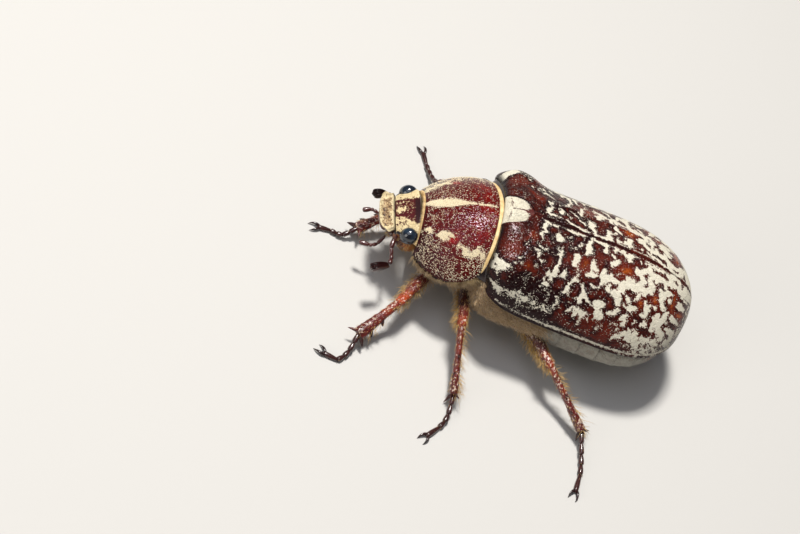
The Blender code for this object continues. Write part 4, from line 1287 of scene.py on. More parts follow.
# Strokes of scales on a wing cover, drawn one by one. Each is a chain of discs, and a disc is written
# as x,share,radius: how far along the body in mm, the share of the way across, the radius in mm.
STROKES = (
    (-.45,.045,.12, .1,.065,.28, .7,.055,.25, 1.3,.055,.2), (-.1,.1,.3, -.2,.135,.42, -.3,.16,.25, 0,.175,.25,
    .15,.2,.2, -.35,.22,.15), (-.4,.25,.25, -.25,.28,.2, -.1,.31,.15), (1.5,.13,.12, 1.55,.18,.3, 1.7,.215,.4,
    1.6,.245,.28), (1.9,.19,.22, 2.2,.215,.16), (.7,.26,.1, 1,.22,.12, 1.4,.18,.2), (1.05,.305,.2, .9,.29,.12),
    (-.3,.4,.18, .1,.425,.18, .5,.41,.18, .65,.4,.1), (-.9,.455,.12, -.55,.47,.2, -.3,.46,.15), (0,.47,.13,
    -.15,.5,.25, -.25,.52,.15), (1.05,.42,.1, 1.15,.435,.14), (.65,.53,.17, .4,.575,.15), (.1,.54,.07, .3,.55,.07),
    (-.1,.615,.14, -.4,.63,.1), (.2,.62,.11, .3,.615,.09), (.6,.695,.13, .65,.71,.12, .85,.735,.15), (-1.25,.775,.13,
    -.9,.775,.2, -.6,.77,.2, -.55,.745,.16), (-.45,.785,.12, -.35,.79,.1), (-.45,.815,.1, -.35,.825,.1),
    (-.6,.86,.08, -.35,.845,.09), (-2,.575,.18, -1.85,.55,.12), (-1.8,.64,.2, -1.6,.65,.12), (-2.4,.64,.14,
    -2.2,.645,.12), (-1.8,.375,.1, -1.5,.41,.1), (-4.3,.56,.12, -4.15,.62,.25, -3.95,.66,.42, -3.5,.7,.5,
    -3.1,.69,.33, -2.7,.68,.13), (-3.6,.7,.4, -3.7,.76,.33, -3.6,.8,.2, -3.9,.8,.15), (-4.2,.66,.2, -4.3,.71,.3,
    -4.2,.76,.25), (2.2,.05,.15, 2.7,.045,.25, 3.2,.05,.24, 3.6,.05,.24, 4.1,.045,.25, 4.45,.04,.13), (4.2,.05,.15,
    4.2,.085,.12), (2.85,.14,.2, 2.75,.165,.16), (2.3,.18,.12, 2.4,.15,.12), (4.15,.175,.2, 4,.195,.24,
    3.75,.22,.16), (3.05,.3,.12, 3.15,.275,.13, 3.4,.265,.18, 3.65,.25,.1), (4,.25,.12, 4.1,.255,.1), (5.3,.045,.16,
    5.05,.1,.26, 4.85,.15,.36, 5,.18,.38, 4.9,.22,.34, 4.8,.26,.26, 4.75,.285,.13), (5.1,.23,.2, 5.4,.25,.13),
    (5.2,.045,.2, 5.7,.045,.15, 6.1,.06,.24, 6.5,.065,.33, 6.8,.07,.33, 7,.06,.22), (6.8,.08,.3, 6.8,.12,.28,
    6.7,.16,.2), (6.9,.12,.2, 7.05,.165,.16), (3.95,.31,.22, 3.9,.35,.36, 3.95,.4,.4, 3.85,.44,.36, 3.95,.47,.2,
    4.15,.485,.11, 4.35,.52,.16, 4.4,.55,.12, 4.4,.58,.2, 4.35,.61,.3), (4.4,.515,.12, 4.6,.505,.08), (3.8,.46,.2,
    3.65,.49,.08), (4.35,.61,.3, 4.1,.615,.15), (5.75,.335,.22, 5.8,.36,.33, 5.9,.4,.43, 6,.45,.48, 5.9,.49,.33,
    5.45,.505,.2), (6.2,.46,.3, 6.5,.485,.15), (5.2,.485,.16, 5.35,.465,.14), (5.2,.425,.07, 5.35,.42,.08),
    (2.1,.31,.07, 2.15,.35,.16, 2.2,.39,.27, 2.2,.43,.23, 2.2,.48,.2, 2.15,.53,.22, 2.1,.57,.28, 2.1,.61,.36,
    1.8,.65,.28), (1.55,.345,.1, 1.7,.37,.12, 2,.38,.14), (2.2,.4,.2, 2.6,.405,.1), (2.1,.41,.2, 1.75,.415,.08),
    (2.1,.47,.15, 1.85,.47,.07), (1.35,.64,.25, 1.6,.65,.3, 1.35,.7,.25, 1.45,.74,.33, 1.8,.745,.3, 2.1,.73,.16),
    (1.9,.66,.25, 1.85,.72,.18), (1.3,.78,.2, 1.6,.785,.16), (2.3,.76,.14, 2.2,.8,.13, 2.15,.835,.08), (3.1,.52,.14,
    3.1,.56,.18, 3,.61,.36, 2.7,.635,.22, 2.45,.65,.12), (3,.62,.3, 3.4,.635,.13), (3.6,.645,.1, 3.9,.66,.18,
    4.1,.65,.14), (3.85,.67,.22, 3.85,.71,.26, 3.7,.75,.22, 3.3,.785,.1), (3.8,.73,.25, 4.25,.74,.16, 4.15,.765,.12),
    (4.5,.695,.1, 4.45,.71,.1), (4.85,.6,.13, 5,.63,.13), (5.2,.63,.14, 5.4,.635,.18, 5.45,.665,.23, 5.6,.7,.3,
    5.8,.725,.38, 5.6,.76,.36, 5.5,.795,.2), (5.5,.76,.15, 5.15,.765,.07), (5.8,.72,.3, 6.1,.735,.2, 6.3,.75,.13,
    6.7,.755,.1, 7.1,.76,.12, 7.4,.755,.2), (4.85,.865,.2, 5.1,.845,.2, 5.3,.84,.22, 5.7,.85,.3, 6,.85,.27,
    6.4,.865,.24, 6.8,.86,.2, 7.05,.855,.1), (5.6,.86,.25, 5.55,.89,.2), (6.35,.88,.15, 6.4,.915,.2), (4.55,.825,.08,
    4.7,.83,.06), (2.9,.83,.1, 3.1,.82,.16, 3.55,.815,.1), (3.3,.83,.15, 3.3,.85,.2, 3.45,.87,.2, 3.2,.89,.2,
    2.85,.895,.12), (2.25,.87,.2, 2.3,.9,.24, 2.8,.915,.18), (3.25,.89,.2, 3.2,.92,.15, 2.7,.92,.2, 1.9,.92,.2,
    1.4,.935,.13), (6.2,.605,.1, 6.6,.6,.14), (6.85,.61,.12, 7.1,.585,.14), (8.05,.06,.28, 7.85,.09,.18, 8,.125,.1),
    (8.6,.065,.18, 8.75,.05,.14), (7.55,.15,.1, 7.8,.175,.22), (8.5,.22,.22, 8.1,.25,.33, 7.85,.28,.3, 7.75,.32,.14),
    (9.1,.08,.24, 9.5,.07,.28, 9.9,.07,.2), (9.65,.1,.24, 9.7,.16,.22), (9.15,.1,.1, 9.15,.155,.12), (7.1,.285,.07,
    7.15,.29,.06), (7.1,.36,.1, 7.2,.4,.28, 7.1,.46,.42, 7.4,.5,.28, 7.2,.54,.13, 7.05,.58,.1), (7.3,.47,.35,
    7.9,.45,.28, 8.4,.47,.33, 8.9,.455,.22), (7.95,.39,.16, 8,.44,.25), (7.6,.51,.2, 7.9,.54,.25, 8.1,.575,.2),
    (8.4,.6,.14, 8.7,.58,.27, 9.1,.56,.36, 9.4,.53,.4, 9.5,.48,.33), (9.2,.58,.3, 9.5,.62,.24, 9.6,.675,.22),
    (9,.6,.25, 9.4,.63,.2), (9.4,.48,.33, 9.9,.44,.48, 10.4,.43,.53, 10.8,.45,.52, 11.2,.42,.5, 11.7,.42,.4,
    12.2,.45,.33, 12.5,.41,.38), (9.9,.38,.22, 10.4,.37,.25), (11.2,.37,.33, 11.7,.34,.28, 11.5,.3,.3, 11,.27,.3,
    10.75,.24,.33, 10.6,.2,.18), (10.9,.25,.3, 11.3,.21,.36, 11.7,.165,.28, 12.2,.16,.33, 12.6,.18,.36),
    (8.75,.37,.1, 8.8,.375,.08), (12.4,.23,.28, 12.35,.28,.28, 12.5,.33,.33, 12.8,.36,.36, 12.6,.41,.33),
    (12.1,.11,.13, 12.1,.14,.13), (11.7,.08,.16, 12.3,.07,.18, 12.7,.08,.22, 13.3,.08,.2, 13.9,.065,.18),
    (11,.085,.17, 11.05,.08,.15), (12.7,.18,.36, 13.3,.2,.36, 13.1,.26,.22, 13.35,.3,.1), (13.3,.19,.33, 13.8,.19,.3,
    14.3,.22,.3, 14.7,.19,.45, 15.1,.19,.38, 15.6,.175,.3, 16.1,.18,.38, 16.4,.22,.42, 16.9,.2,.48, 17.3,.22,.52,
    17.9,.23,.3, 18.5,.2,.28), (14.4,.22,.3, 14.4,.27,.3), (14.8,.14,.45, 14.6,.08,.33, 15.2,.08,.25, 14.9,.04,.2,
    15.5,.04,.26, 16.1,.07,.28, 16.3,.13,.28), (17.2,.06,.33, 17.2,.13,.48, 17.8,.15,.48, 18.4,.12,.38),
    (17.8,.06,.3, 18.3,.07,.25), (16.9,.27,.25, 16.7,.31,.08), (13.9,.36,.28, 14.1,.4,.48, 14.4,.42,.42,
    14.2,.45,.33), (14.1,.38,.4, 14.6,.36,.4, 14.95,.33,.36), (14.5,.51,.33, 14.7,.55,.2), (14.2,.46,.3,
    14.35,.5,.2), (15.2,.41,.16, 15.25,.43,.16), (13.6,.575,.2, 13.75,.585,.18), (13.15,.56,.1, 13.2,.57,.08),
    (12.4,.54,.09, 12.65,.57,.18, 12.85,.61,.36, 12.9,.66,.33, 12.8,.69,.18), (12.4,.68,.16, 12.8,.69,.2),
    (10.25,.58,.13, 10.5,.6,.2, 10.75,.615,.1), (11.7,.48,.1, 11.55,.52,.24, 11.35,.54,.22, 11.15,.58,.12),
    (10.25,.66,.14, 10.5,.67,.12), (10.9,.65,.14, 11.1,.67,.27, 11.5,.655,.18), (11,.68,.25, 10.75,.695,.12),
    (11.35,.72,.1, 11.45,.72,.08), (9.75,.71,.15, 9.8,.735,.18, 9.4,.77,.14, 9.1,.785,.13, 8.85,.79,.07),
    (10.45,.78,.2, 10.8,.77,.27, 10.85,.81,.22), (10.9,.76,.2, 11.15,.75,.06), (12.05,.77,.14, 12,.8,.12),
    (12.85,.77,.15, 13,.755,.18), (7.3,.73,.3, 7.6,.725,.36, 7.9,.71,.22), (7.6,.74,.36, 7.7,.79,.26, 8,.82,.36,
    8.35,.84,.22, 8.2,.865,.13), (7.9,.75,.2, 8.05,.72,.2), (9.7,.84,.08, 9.75,.84,.08), (10.2,.84,.09,
    10.1,.845,.08), (10.5,.87,.09, 10.55,.87,.06), (7.15,.885,.08, 7.3,.88,.08), (8.4,.915,.1, 8.5,.915,.08),
    (8.8,.89,.07, 8.85,.89,.06), (12.4,.84,.16, 12.8,.87,.22, 12.2,.88,.22, 11.7,.86,.13, 11.7,.84,.08), (11,.92,.15,
    11.3,.89,.22, 11.8,.9,.22, 12.5,.91,.22, 13.1,.9,.18), (10.4,.935,.12, 10.9,.915,.18), (13.1,.73,.18,
    13.15,.76,.25, 13.3,.785,.13), (15.3,.58,.22, 15.2,.62,.28, 15,.68,.38, 14.7,.71,.45, 14.3,.73,.48, 14.2,.68,.4,
    14.4,.64,.3), (14.9,.74,.36, 15,.79,.28, 15.3,.82,.28, 15.7,.83,.26, 15.8,.87,.26), (14.2,.76,.3, 14.1,.79,.16,
    14.4,.82,.12), (15.2,.88,.2, 14.8,.91,.18, 15.6,.91,.2), (15.85,.64,.22, 16.1,.63,.28, 16.4,.66,.35,
    16.9,.68,.28, 17.25,.715,.14), (15.95,.76,.16, 16.3,.78,.22, 16.6,.81,.22, 16.9,.83,.26, 17.2,.88,.28),
    (15.7,.7,.12, 15.8,.705,.1), (16.4,.39,.13, 16.6,.43,.25, 16.9,.42,.3, 17.2,.46,.36, 16.9,.48,.28, 16.4,.47,.16),
    (17.2,.48,.22, 17.45,.5,.12), (17.3,.31,.16, 17.75,.32,.16), (13.6,.89,.18, 14.1,.9,.18, 14.4,.88,.13),
    (16.5,.92,.28, 17,.93,.28), (17.6,.8,.16, 17.7,.84,.16), (-4.3,.895,.14, -3.5,.915,.24, -2.5,.925,.28,
    -1.5,.925,.26, -.8,.91,.28, 0,.915,.3, .8,.91,.3, 1.3,.92,.26), (-.6,.96,.18, 0,.96,.18, .8,.965,.1),
    (.2,.885,.1, 1,.89,.13, 1.15,.865,.13)
)
SHOULDER = (
    (-5.1,.37,.3, -5.1,.47,.55, -4.8,.57,.72, -4.3,.68,.66, -3.6,.77,.38),
)
HOLES = (
    (6.05,.435,.07, 6.1,.44,.05), (1.6,.69,.1, 1.6,.71,.08), (8.2,.51,.08, 8.5,.53,.12, 8.9,.535,.1), (7.75,.535,.08,
    7.9,.515,.1), (10.3,.54,.1, 10.9,.58,.12), (10.8,.335,.14, 11,.335,.12), (12.1,.32,.12, 12.1,.38,.1),
    (11.6,.45,.08, 11.7,.46,.1), (11.5,.24,.15, 11.9,.22,.2, 12,.26,.14), (15.6,.11,.22, 15.65,.12,.15),
    (16.6,.03,.14, 16.6,.13,.14), (12.8,.24,.14, 12.9,.27,.14)
)


def chains(strokes: Sequence[Sequence[float]], x: Array, across: Array) -> Array:
    """Return how far inside the nearest tapered stroke places lie, in millimetres.

    A stroke is a chain of discs. Between two discs the radius runs evenly from one to the other.

    Args:
        strokes: the strokes, as rows of discs.
        x: how far along the body, in mm.
        across: how far across the cover, in mm.

    Returns:
        The distance inside a stroke, negative outside.
    """
    best = np.full(np.shape(x), -2.0)
    for stroke in strokes:
        discs = np.array(stroke, float).reshape(-1, 3) * (1, SHARE_MM, 1)
        for (ax, ay, ar), (bx, by, br) in zip(discs[:-1], discs[1:]):
            dx, dy = bx - ax, by - ay
            t = np.clip(((x - ax) * dx + (across - ay) * dy) / (dx * dx + dy * dy + 1e-9), 0, 1)
            best = np.maximum(best, ar + t * (br - ar) - np.hypot(x - ax - t * dx, across - ay - t * dy))
    return best


@dataclass(frozen=True)
class CoverSide:
    """Which wing cover: its name, its side, the seed of its grain and how far that bends its strokes."""

    name: str
    side: int
    seed: int
    bent: float = 0.0


@dataclass(frozen=True)
class WingCovers(Part):
    """The two wing covers, with their marbling of scales."""

    rows: int = 300
    columns: int = 120
    thick: float = 0.42
    scales_per_mm2: float = 100.0
    scales: Coat = Coat(Strand.SCALE, 0.20, 0.085, lift=0.12, stray=0.4, uneven=0.25)
    sides: tuple[CoverSide, CoverSide] = (CoverSide("left", -1, 41), CoverSide("right", 1, 42, 1.5))
    # Rust-red places: x in mm, the share of the way across, and the spread of the bell in each
    rust: tuple[tuple[float, float, float, float], ...] = (
        (9.5, 0.32, 1.0, 0.12), (13.5, 0.48, 0.6, 0.08), (15.7, 0.4, 0.5, 0.14), (12.1, 0.58, 0.5, 0.06),
        (5.0, 0.42, 1.6, 0.10), (16.8, 0.58, 0.9, 0.04), (-1.2, 0.3, 0.7, 0.05), (-0.9, 0.66, 0.8, 0.04))

    @staticmethod
    def spread(u: Array, v: Array, side: int) -> tuple[Array, Array]:
        """Return x and e at shares of the grid, closer together at the neck, apex and margin.

        Args:
            u: shares of the rows, 0 to 1.
            v: shares of the columns, 0 to 1.
            side: -1 for the left, 1 for the right.

        Returns:
            Places along the body in mm, and shares of the way from the seam to the edge.
        """
        e = np.sin(v * np.pi / 2)
        left = np.clip(1 - u + 0.72 * np.sin(2 * np.pi * u) / (2 * np.pi), 0, 1)
        eased = 1 - left ** 1.5
        start = COVER.start(e, side)
        return start + (COVER.apex_x - 0.001 - start) * eased, e

    @staticmethod
    def to_margin(x: Array, e: Array) -> Array:
        """Return the rough distance in millimetres to the outer edge, across the steep flank."""
        rise = (COVER.top(x) - COVER.margin(x)) * COVER.arch(e)
        return np.hypot(rise, COVER.width(x) * (1 - e))

    def patch(self, x: Array, e: Array, place: Array, cover: CoverSide) -> Array:
        """Return the field of the scale patches, in millimetres inside their edges.

        The field is the largest of the strokes, whose edges noise pushes in and out, a thin line
        beside the seam, a broken band along the margin, and clouds of noise low on the flank.

        Args:
            x: how far along the body, in mm.
            e: how far from the seam, 0, to the outer edge, 1.
            place: the places in mm.
            cover: which cover it is.

        Returns:
            The field, positive inside a patch.
        """
        grain = Grain(cover.seed)
        slow = np.stack([grain.value(place + k, 2.2) - 0.5 for k in (200.0, 260.0)])
        mid = np.stack([grain.rough(place + k, 0.6) - 0.5 for k in (0.0, 50.0)])
        quick = np.stack([grain.value(place + k, 0.2) - 0.5 for k in (5.0, 9.0)])
        push = cover.bent * slow + 0.50 * mid + 0.30 * quick
        across = e * SHARE_MM + push[1]
        best = chains(STROKES, x + push[0], across)
        if cover.side > 0:
            best = np.maximum(best, chains(SHOULDER, x + 0.5 * push[0], e * SHARE_MM + 0.5 * push[1]))
        best = np.minimum(best, -chains(HOLES, x + push[0], across))
        fine = grain.rough(place + 80, 0.25) - 0.5
        best = best + 0.30 * fine - 0.07 + 0.09 * step_between(4.0, 9.0, x)
        seam = np.abs(e) * COVER.width(x)
        broken = grain.value(place + 7, 0.7)
        line = 0.07 * broken - 0.04 + 0.05 * step_between(4.0, 9.0, x) - np.abs(seam - 0.34 - 0.03 * np.sin(x * 1.3))
        line = np.where((x > -0.6) & (broken > 0.2), line, -1)
        best = np.maximum(best, line + 0.10 * fine)
        edge = self.to_margin(x, e)
        band = 0.06 + 0.16 * grain.rough(place + 3, 0.7) - np.abs(edge - 0.50)
        best = np.maximum(best, np.where(x > -2.6, band + 0.3 * fine, -1))
        cloud = 1.3 * (grain.rough(place + 120, 0.36) - 0.5)
        low = step_between(9.5, 13.0, x) * step_between(0.80, 0.90, e)
        apex = step_between(16.6, 18.0, x)
        crumb = 1.2 * (grain.rough(place + 150, 0.2) - 0.5)
        best = np.maximum(best, 0.7 * (cloud + crumb - 0.08) - 0.7 * (1 - np.maximum(low, 0.9 * apex)))
        shoulder = bell(x, -0.9, 2.9) * bell(e, 0.93, 0.045)
        best = np.maximum(best, 0.7 * (cloud + 0.02) - 0.7 * (1 - shoulder))
        return best

    def shell(self, cover: CoverSide) -> Skin:
        """Make one cover's shell, with a bead along its margin, and return its skin.

        The shape's surface is moved along its normals by bells at the margin, the seam and the two
        ribs and by noise, and the inner wall lies one thickness inside it. The tone is a sum of
        steps along the body and of bells at the rust-red places.

        Args:
            cover: which cover it is.

        Returns:
            The skin that the scales grow on.
        """
        u, v = np.meshgrid(np.linspace(0, 1, self.rows), np.linspace(0, 1, self.columns), indexing="ij")
        x, e = self.spread(u, v, cover.side)
        outer = COVER.place(x, e, cover.side)
        normal = normals_of(outer)
        normal *= np.sign(normal[self.rows // 2, self.columns // 3, 2])
        edge = self.to_margin(x, e)
        seam = e * COVER.width(x)
        ridge = 0.05 * bell(edge, 0.12, 0.14) + 0.02 * bell(seam, 0.16, 0.10)
        ribs = (0.09 * bell(e, 0.33, 0.04) + 0.07 * bell(e, 0.60, 0.04)) * bell(x, 6.0, 9.0)
        dents = 0.02 * (Grain(cover.seed + 9).rough(outer, 0.5) - 0.5)
        outer = outer + normal * (ridge + (ribs + dents))[..., None]
        inner = outer - normal * self.thick
        inner[:, -1] = outer[:, -1] + np.array((0, -cover.side * 0.16, -0.02))
        field_value = self.patch(x, e, outer, cover)
        tone = 0.20 + 0.08 * step_between(-2.0, 2.0, x) + 0.12 * step_between(2.0, 12.0, x)
        for at, share, long, wide in self.rust:
            tone = tone + 0.45 * bell(x, at, long) * bell(e, share, wide)
        tone = tone + 0.25 * bell(x, -3.0, 1.2) * bell(e, 0.45, 0.12) + 0.18 * bell(x, 8.0, 4.5) * bell(e, 0.88, 0.05)
        tone = tone - 0.35 * bell(x, 1.0, 3.2) * step_between(0.72, 0.82, e) + 0.05 * bell(seam, 0.16, 0.12)
        tone = tone - 0.24 * bell(field_value, -0.16, 0.20)
        rim = np.clip(bell(edge, 0.0, 0.16) + 0.35 * bell(seam, 0.0, 0.04), 0, 1)
        rim = np.maximum(rim, 0.9 * bell(x - COVER.start(e, cover.side), 0.0, 0.22))
        crumbly = step_between(0.66, 0.82, e) * step_between(5.0, 0.0, x) * step_between(-3.0, -1.5, x)
        marks = {"patch": np.clip(0.5 + (field_value - 0.02 - 0.10 * crumbly) / 0.7, 0, 1),
                 "tone": tone, "rim": rim}
        place_mesh("elytron_shell_" + cover.name, slab(outer, inner, marks), self.finishes.cover,
                   ("elytron_" + cover.name,))
        return Skin(outer, inward=faces_down(outer, self.rows // 2, self.columns // 3))

    def dress(self, cover: CoverSide, skin: Skin) -> None:
        """Grow the scales of one cover, thick in the patches and single between them.

        Args:
            cover: which cover it is.
            skin: the skin that they grow on.
        """
        roots = skin.scatter(self.scales_per_mm2, cover.seed + 2)
        x, e = self.spread(roots.uv[:, 0], roots.uv[:, 1], cover.side)
        value = self.patch(x, e, roots.place, cover)
        cloud = Grain(cover.seed + 5).rough(roots.place, 0.9)
        stray = 0.03 + 0.13 * step_between(0.46, 0.66, cloud) * (1 - 0.6 * bell(x, -4.2, 1.2))
        chance = np.where(value > 0.04, 0.96, stray + 0.6 * step_between(-0.12, 0.04, value))
        behind = x - COVER.start(e, cover.side)
        clear = (self.to_margin(x, e) > 0.28) & (e * COVER.width(x) > 0.16) & (behind > 0.5)
        keep = (np.random.default_rng(cover.seed + 3).random(len(roots)) < chance) & clear
        grown = self.scales.grow(roots.take(keep), TAILWARDS, cover.seed + 4)
        place_mesh("elytron_scales_" + cover.name, grown, self.finishes.cream)

    def make(self) -> None:
        """Make both covers and the neck between them and the pronotum."""
        for cover in self.sides:
            self.dress(cover, self.shell(cover))
        self.neck()

    def neck(self) -> None:
        """Make the dark neck that the covers' front edges and the pronotum's base reach over.

        It is the covers' own surface carried forward, let down and drawn in.
        """
        back, e = np.meshgrid(np.linspace(-0.35, 2.4, 30), arc(-1, 1, 120), indexing="ij")
        side = np.where(e < 0, -1, 1)
        x = SHIELD.base_line(COVER.neck[0] * e) + back
        outer = COVER.place(x, 0.97 * np.abs(e), side) * (1, 0.94, 1) - UP * 0.5
        inner = outer * (1, 0.90, 1) - UP * 0.6
        place_mesh("wing_neck", plain_marks(slab(outer, inner), 0.1), self.finishes.foot)


@dataclass(frozen=True)
class Scutellum(Part):
    """The small white plate between the wing covers."""

    rows: int = 60
    columns: int = 60
    thick: float = 0.5
    scales_per_mm2: float = 110.0
    scales: Coat = Coat(Strand.SCALE, 0.26, 0.085, lift=0.16, stray=0.45)

    def make(self) -> None:
        """Make the plate, cream in two halves about a dark middle line, with a red-brown tip.

        It lies just under the covers' surface, raised by a parabola across it.
        """
        share, c = np.meshgrid(arc(0, 1, self.rows) * 0.985, arc(-1, 1, self.columns), indexing="ij")
        start = SHIELD.base_x + GAP + 0.06
        x = start + (COVER.plate_tip_x - start) * share
        half = COVER.plate_width(x)
        z = COVER.place(x, 0 * x, 1)[..., 2] - 0.14 + 0.2 * (1 - c * c) - 0.05 * np.abs(c) ** 8
        outer = np.stack([x, half * c, z], axis=-1)
        inner = outer - UP * self.thick
        rough = Grain(61).rough(outer, 0.35) - 0.5
        line = np.abs(half * c) - 0.05 - 0.05 * share
        lobe = 0.80 - 0.16 * np.clip(1 - np.abs(c) / 0.35, 0, 1) - 0.10 * np.abs(c) ** 3
        body = np.minimum(np.minimum(line * 3, (1 - np.abs(c)) * half * 1.2 - 0.08), (lobe - share) * 3)
        body = np.maximum(np.minimum(body, (share - 0.22 + 0.08 * c * c) * 4), (0.17 - 0.05 * c * c - share) * 4)
        marks = {"patch": np.clip(0.5 + (body + 0.35 * rough) / 0.3, 0, 1), "tone": 0.30 + 0.3 * share,
                 "rim": np.zeros_like(x)}
        place_mesh("scutellum_plate", slab(outer, inner, marks), self.finishes.white, ("scutellum",))
        skin = Skin(outer, inward=faces_down(outer, self.rows // 2, self.columns // 2))
        roots = skin.scatter(self.scales_per_mm2, 62)
        where = (roots.place[:, 0] - start) / (COVER.plate_tip_x - start)
        keep = (np.abs(roots.place[:, 1]) > 0.07 + 0.05 * where) & (where < 0.86)
        across = np.abs(roots.place[:, 1]) / np.maximum(COVER.plate_width(roots.place[:, 0]), 0.01)
        ragged = 0.12 * (Grain(64).rough(roots.place, 0.2) - 0.5)
        keep &= (across < 0.95 + ragged) & (np.abs(where - 0.20 + 0.07 * across ** 2) > 0.02)
        keep &= where < 0.80 + 2 * ragged - 0.16 * np.clip(1 - across / 0.35, 0, 1) - 0.10 * across ** 3
        grown = self.scales.grow(roots.take(keep), TAILWARDS, 63)
        place_mesh("scutellum_scales", grown, self.finishes.cream)


# ---- the head


@dataclass(frozen=True)
class HeadShape:
    """The head's own frame: forward along the face, across, and up from the face."""

    root: Triple = (-11.98, -0.49, 9.61)
    pitch: float = math.radians(37.6)
    turn: float = math.radians(9.2)
    seam: float = 3.17
    front: float = 4.7
    half_width: float = 2.55
    eye_at: Triple = (1.92, 2.8, -0.98)
    eye_radii: Triple = (1.0, 0.86, 0.95)

    def place(self, forward: Array, across: Array, up: Array) -> Array:
        """Return places given in the head's own frame as places of the body frame.

        Args:
            forward: how far down the face, in mm.
            across: how far across the face, in mm.
            up: how far up from the face, in mm.

        Returns:
            The places of the body frame in mm.
        """
        x = -(np.asarray(forward, float) * math.cos(self.pitch) + up * math.sin(self.pitch))
        z = -np.asarray(forward, float) * math.sin(self.pitch) + up * math.cos(self.pitch)
        c, s = math.cos(self.turn), math.sin(self.turn)
        x, y, z = np.broadcast_arrays(x * c - across * s, x * s + across * c, z)
        return np.array(self.root) + np.stack([x, y, z], axis=-1)

    def direction(self, forward: float, across: float, up: float) -> Array:
        """Return a direction given in the head's own frame."""
        return self.place(forward, across, up) - self.place(0.0, 0.0, 0.0)


HEAD = HeadShape()


def ellipsoid(centre: Triple, radii: Triple, rows: int, columns: int, side: int = 1) -> tuple[Array, Array, Array]:
    """Work out an ellipsoid in the head's own frame, with its poles to the left and right.

    At the angle a from a pole and b round it, a point is the centre and (r1 sin a cos b,
    -r2 cos a, r3 sin a sin b) added, with the distance across turned over for the left side.

    Args:
        centre: its middle on the right side, in mm.
        radii: its radii forwards, across and up, in mm.
        rows: how many rings.
        columns: how many points to a ring.
        side: -1 for the left, 1 for the right.

    Returns:
        How far forwards, across and up each point of its rings lies, in mm.
    """
    polar = np.linspace(0.03, np.pi - 0.03, rows)[:, None]
    angles = circle(columns)
    return (centre[0] + radii[0] * np.sin(polar) * np.cos(angles),
            side * (centre[1] - radii[1] * np.cos(polar) * np.ones_like(angles)),
            centre[2] + radii[2] * np.sin(polar) * np.sin(angles))


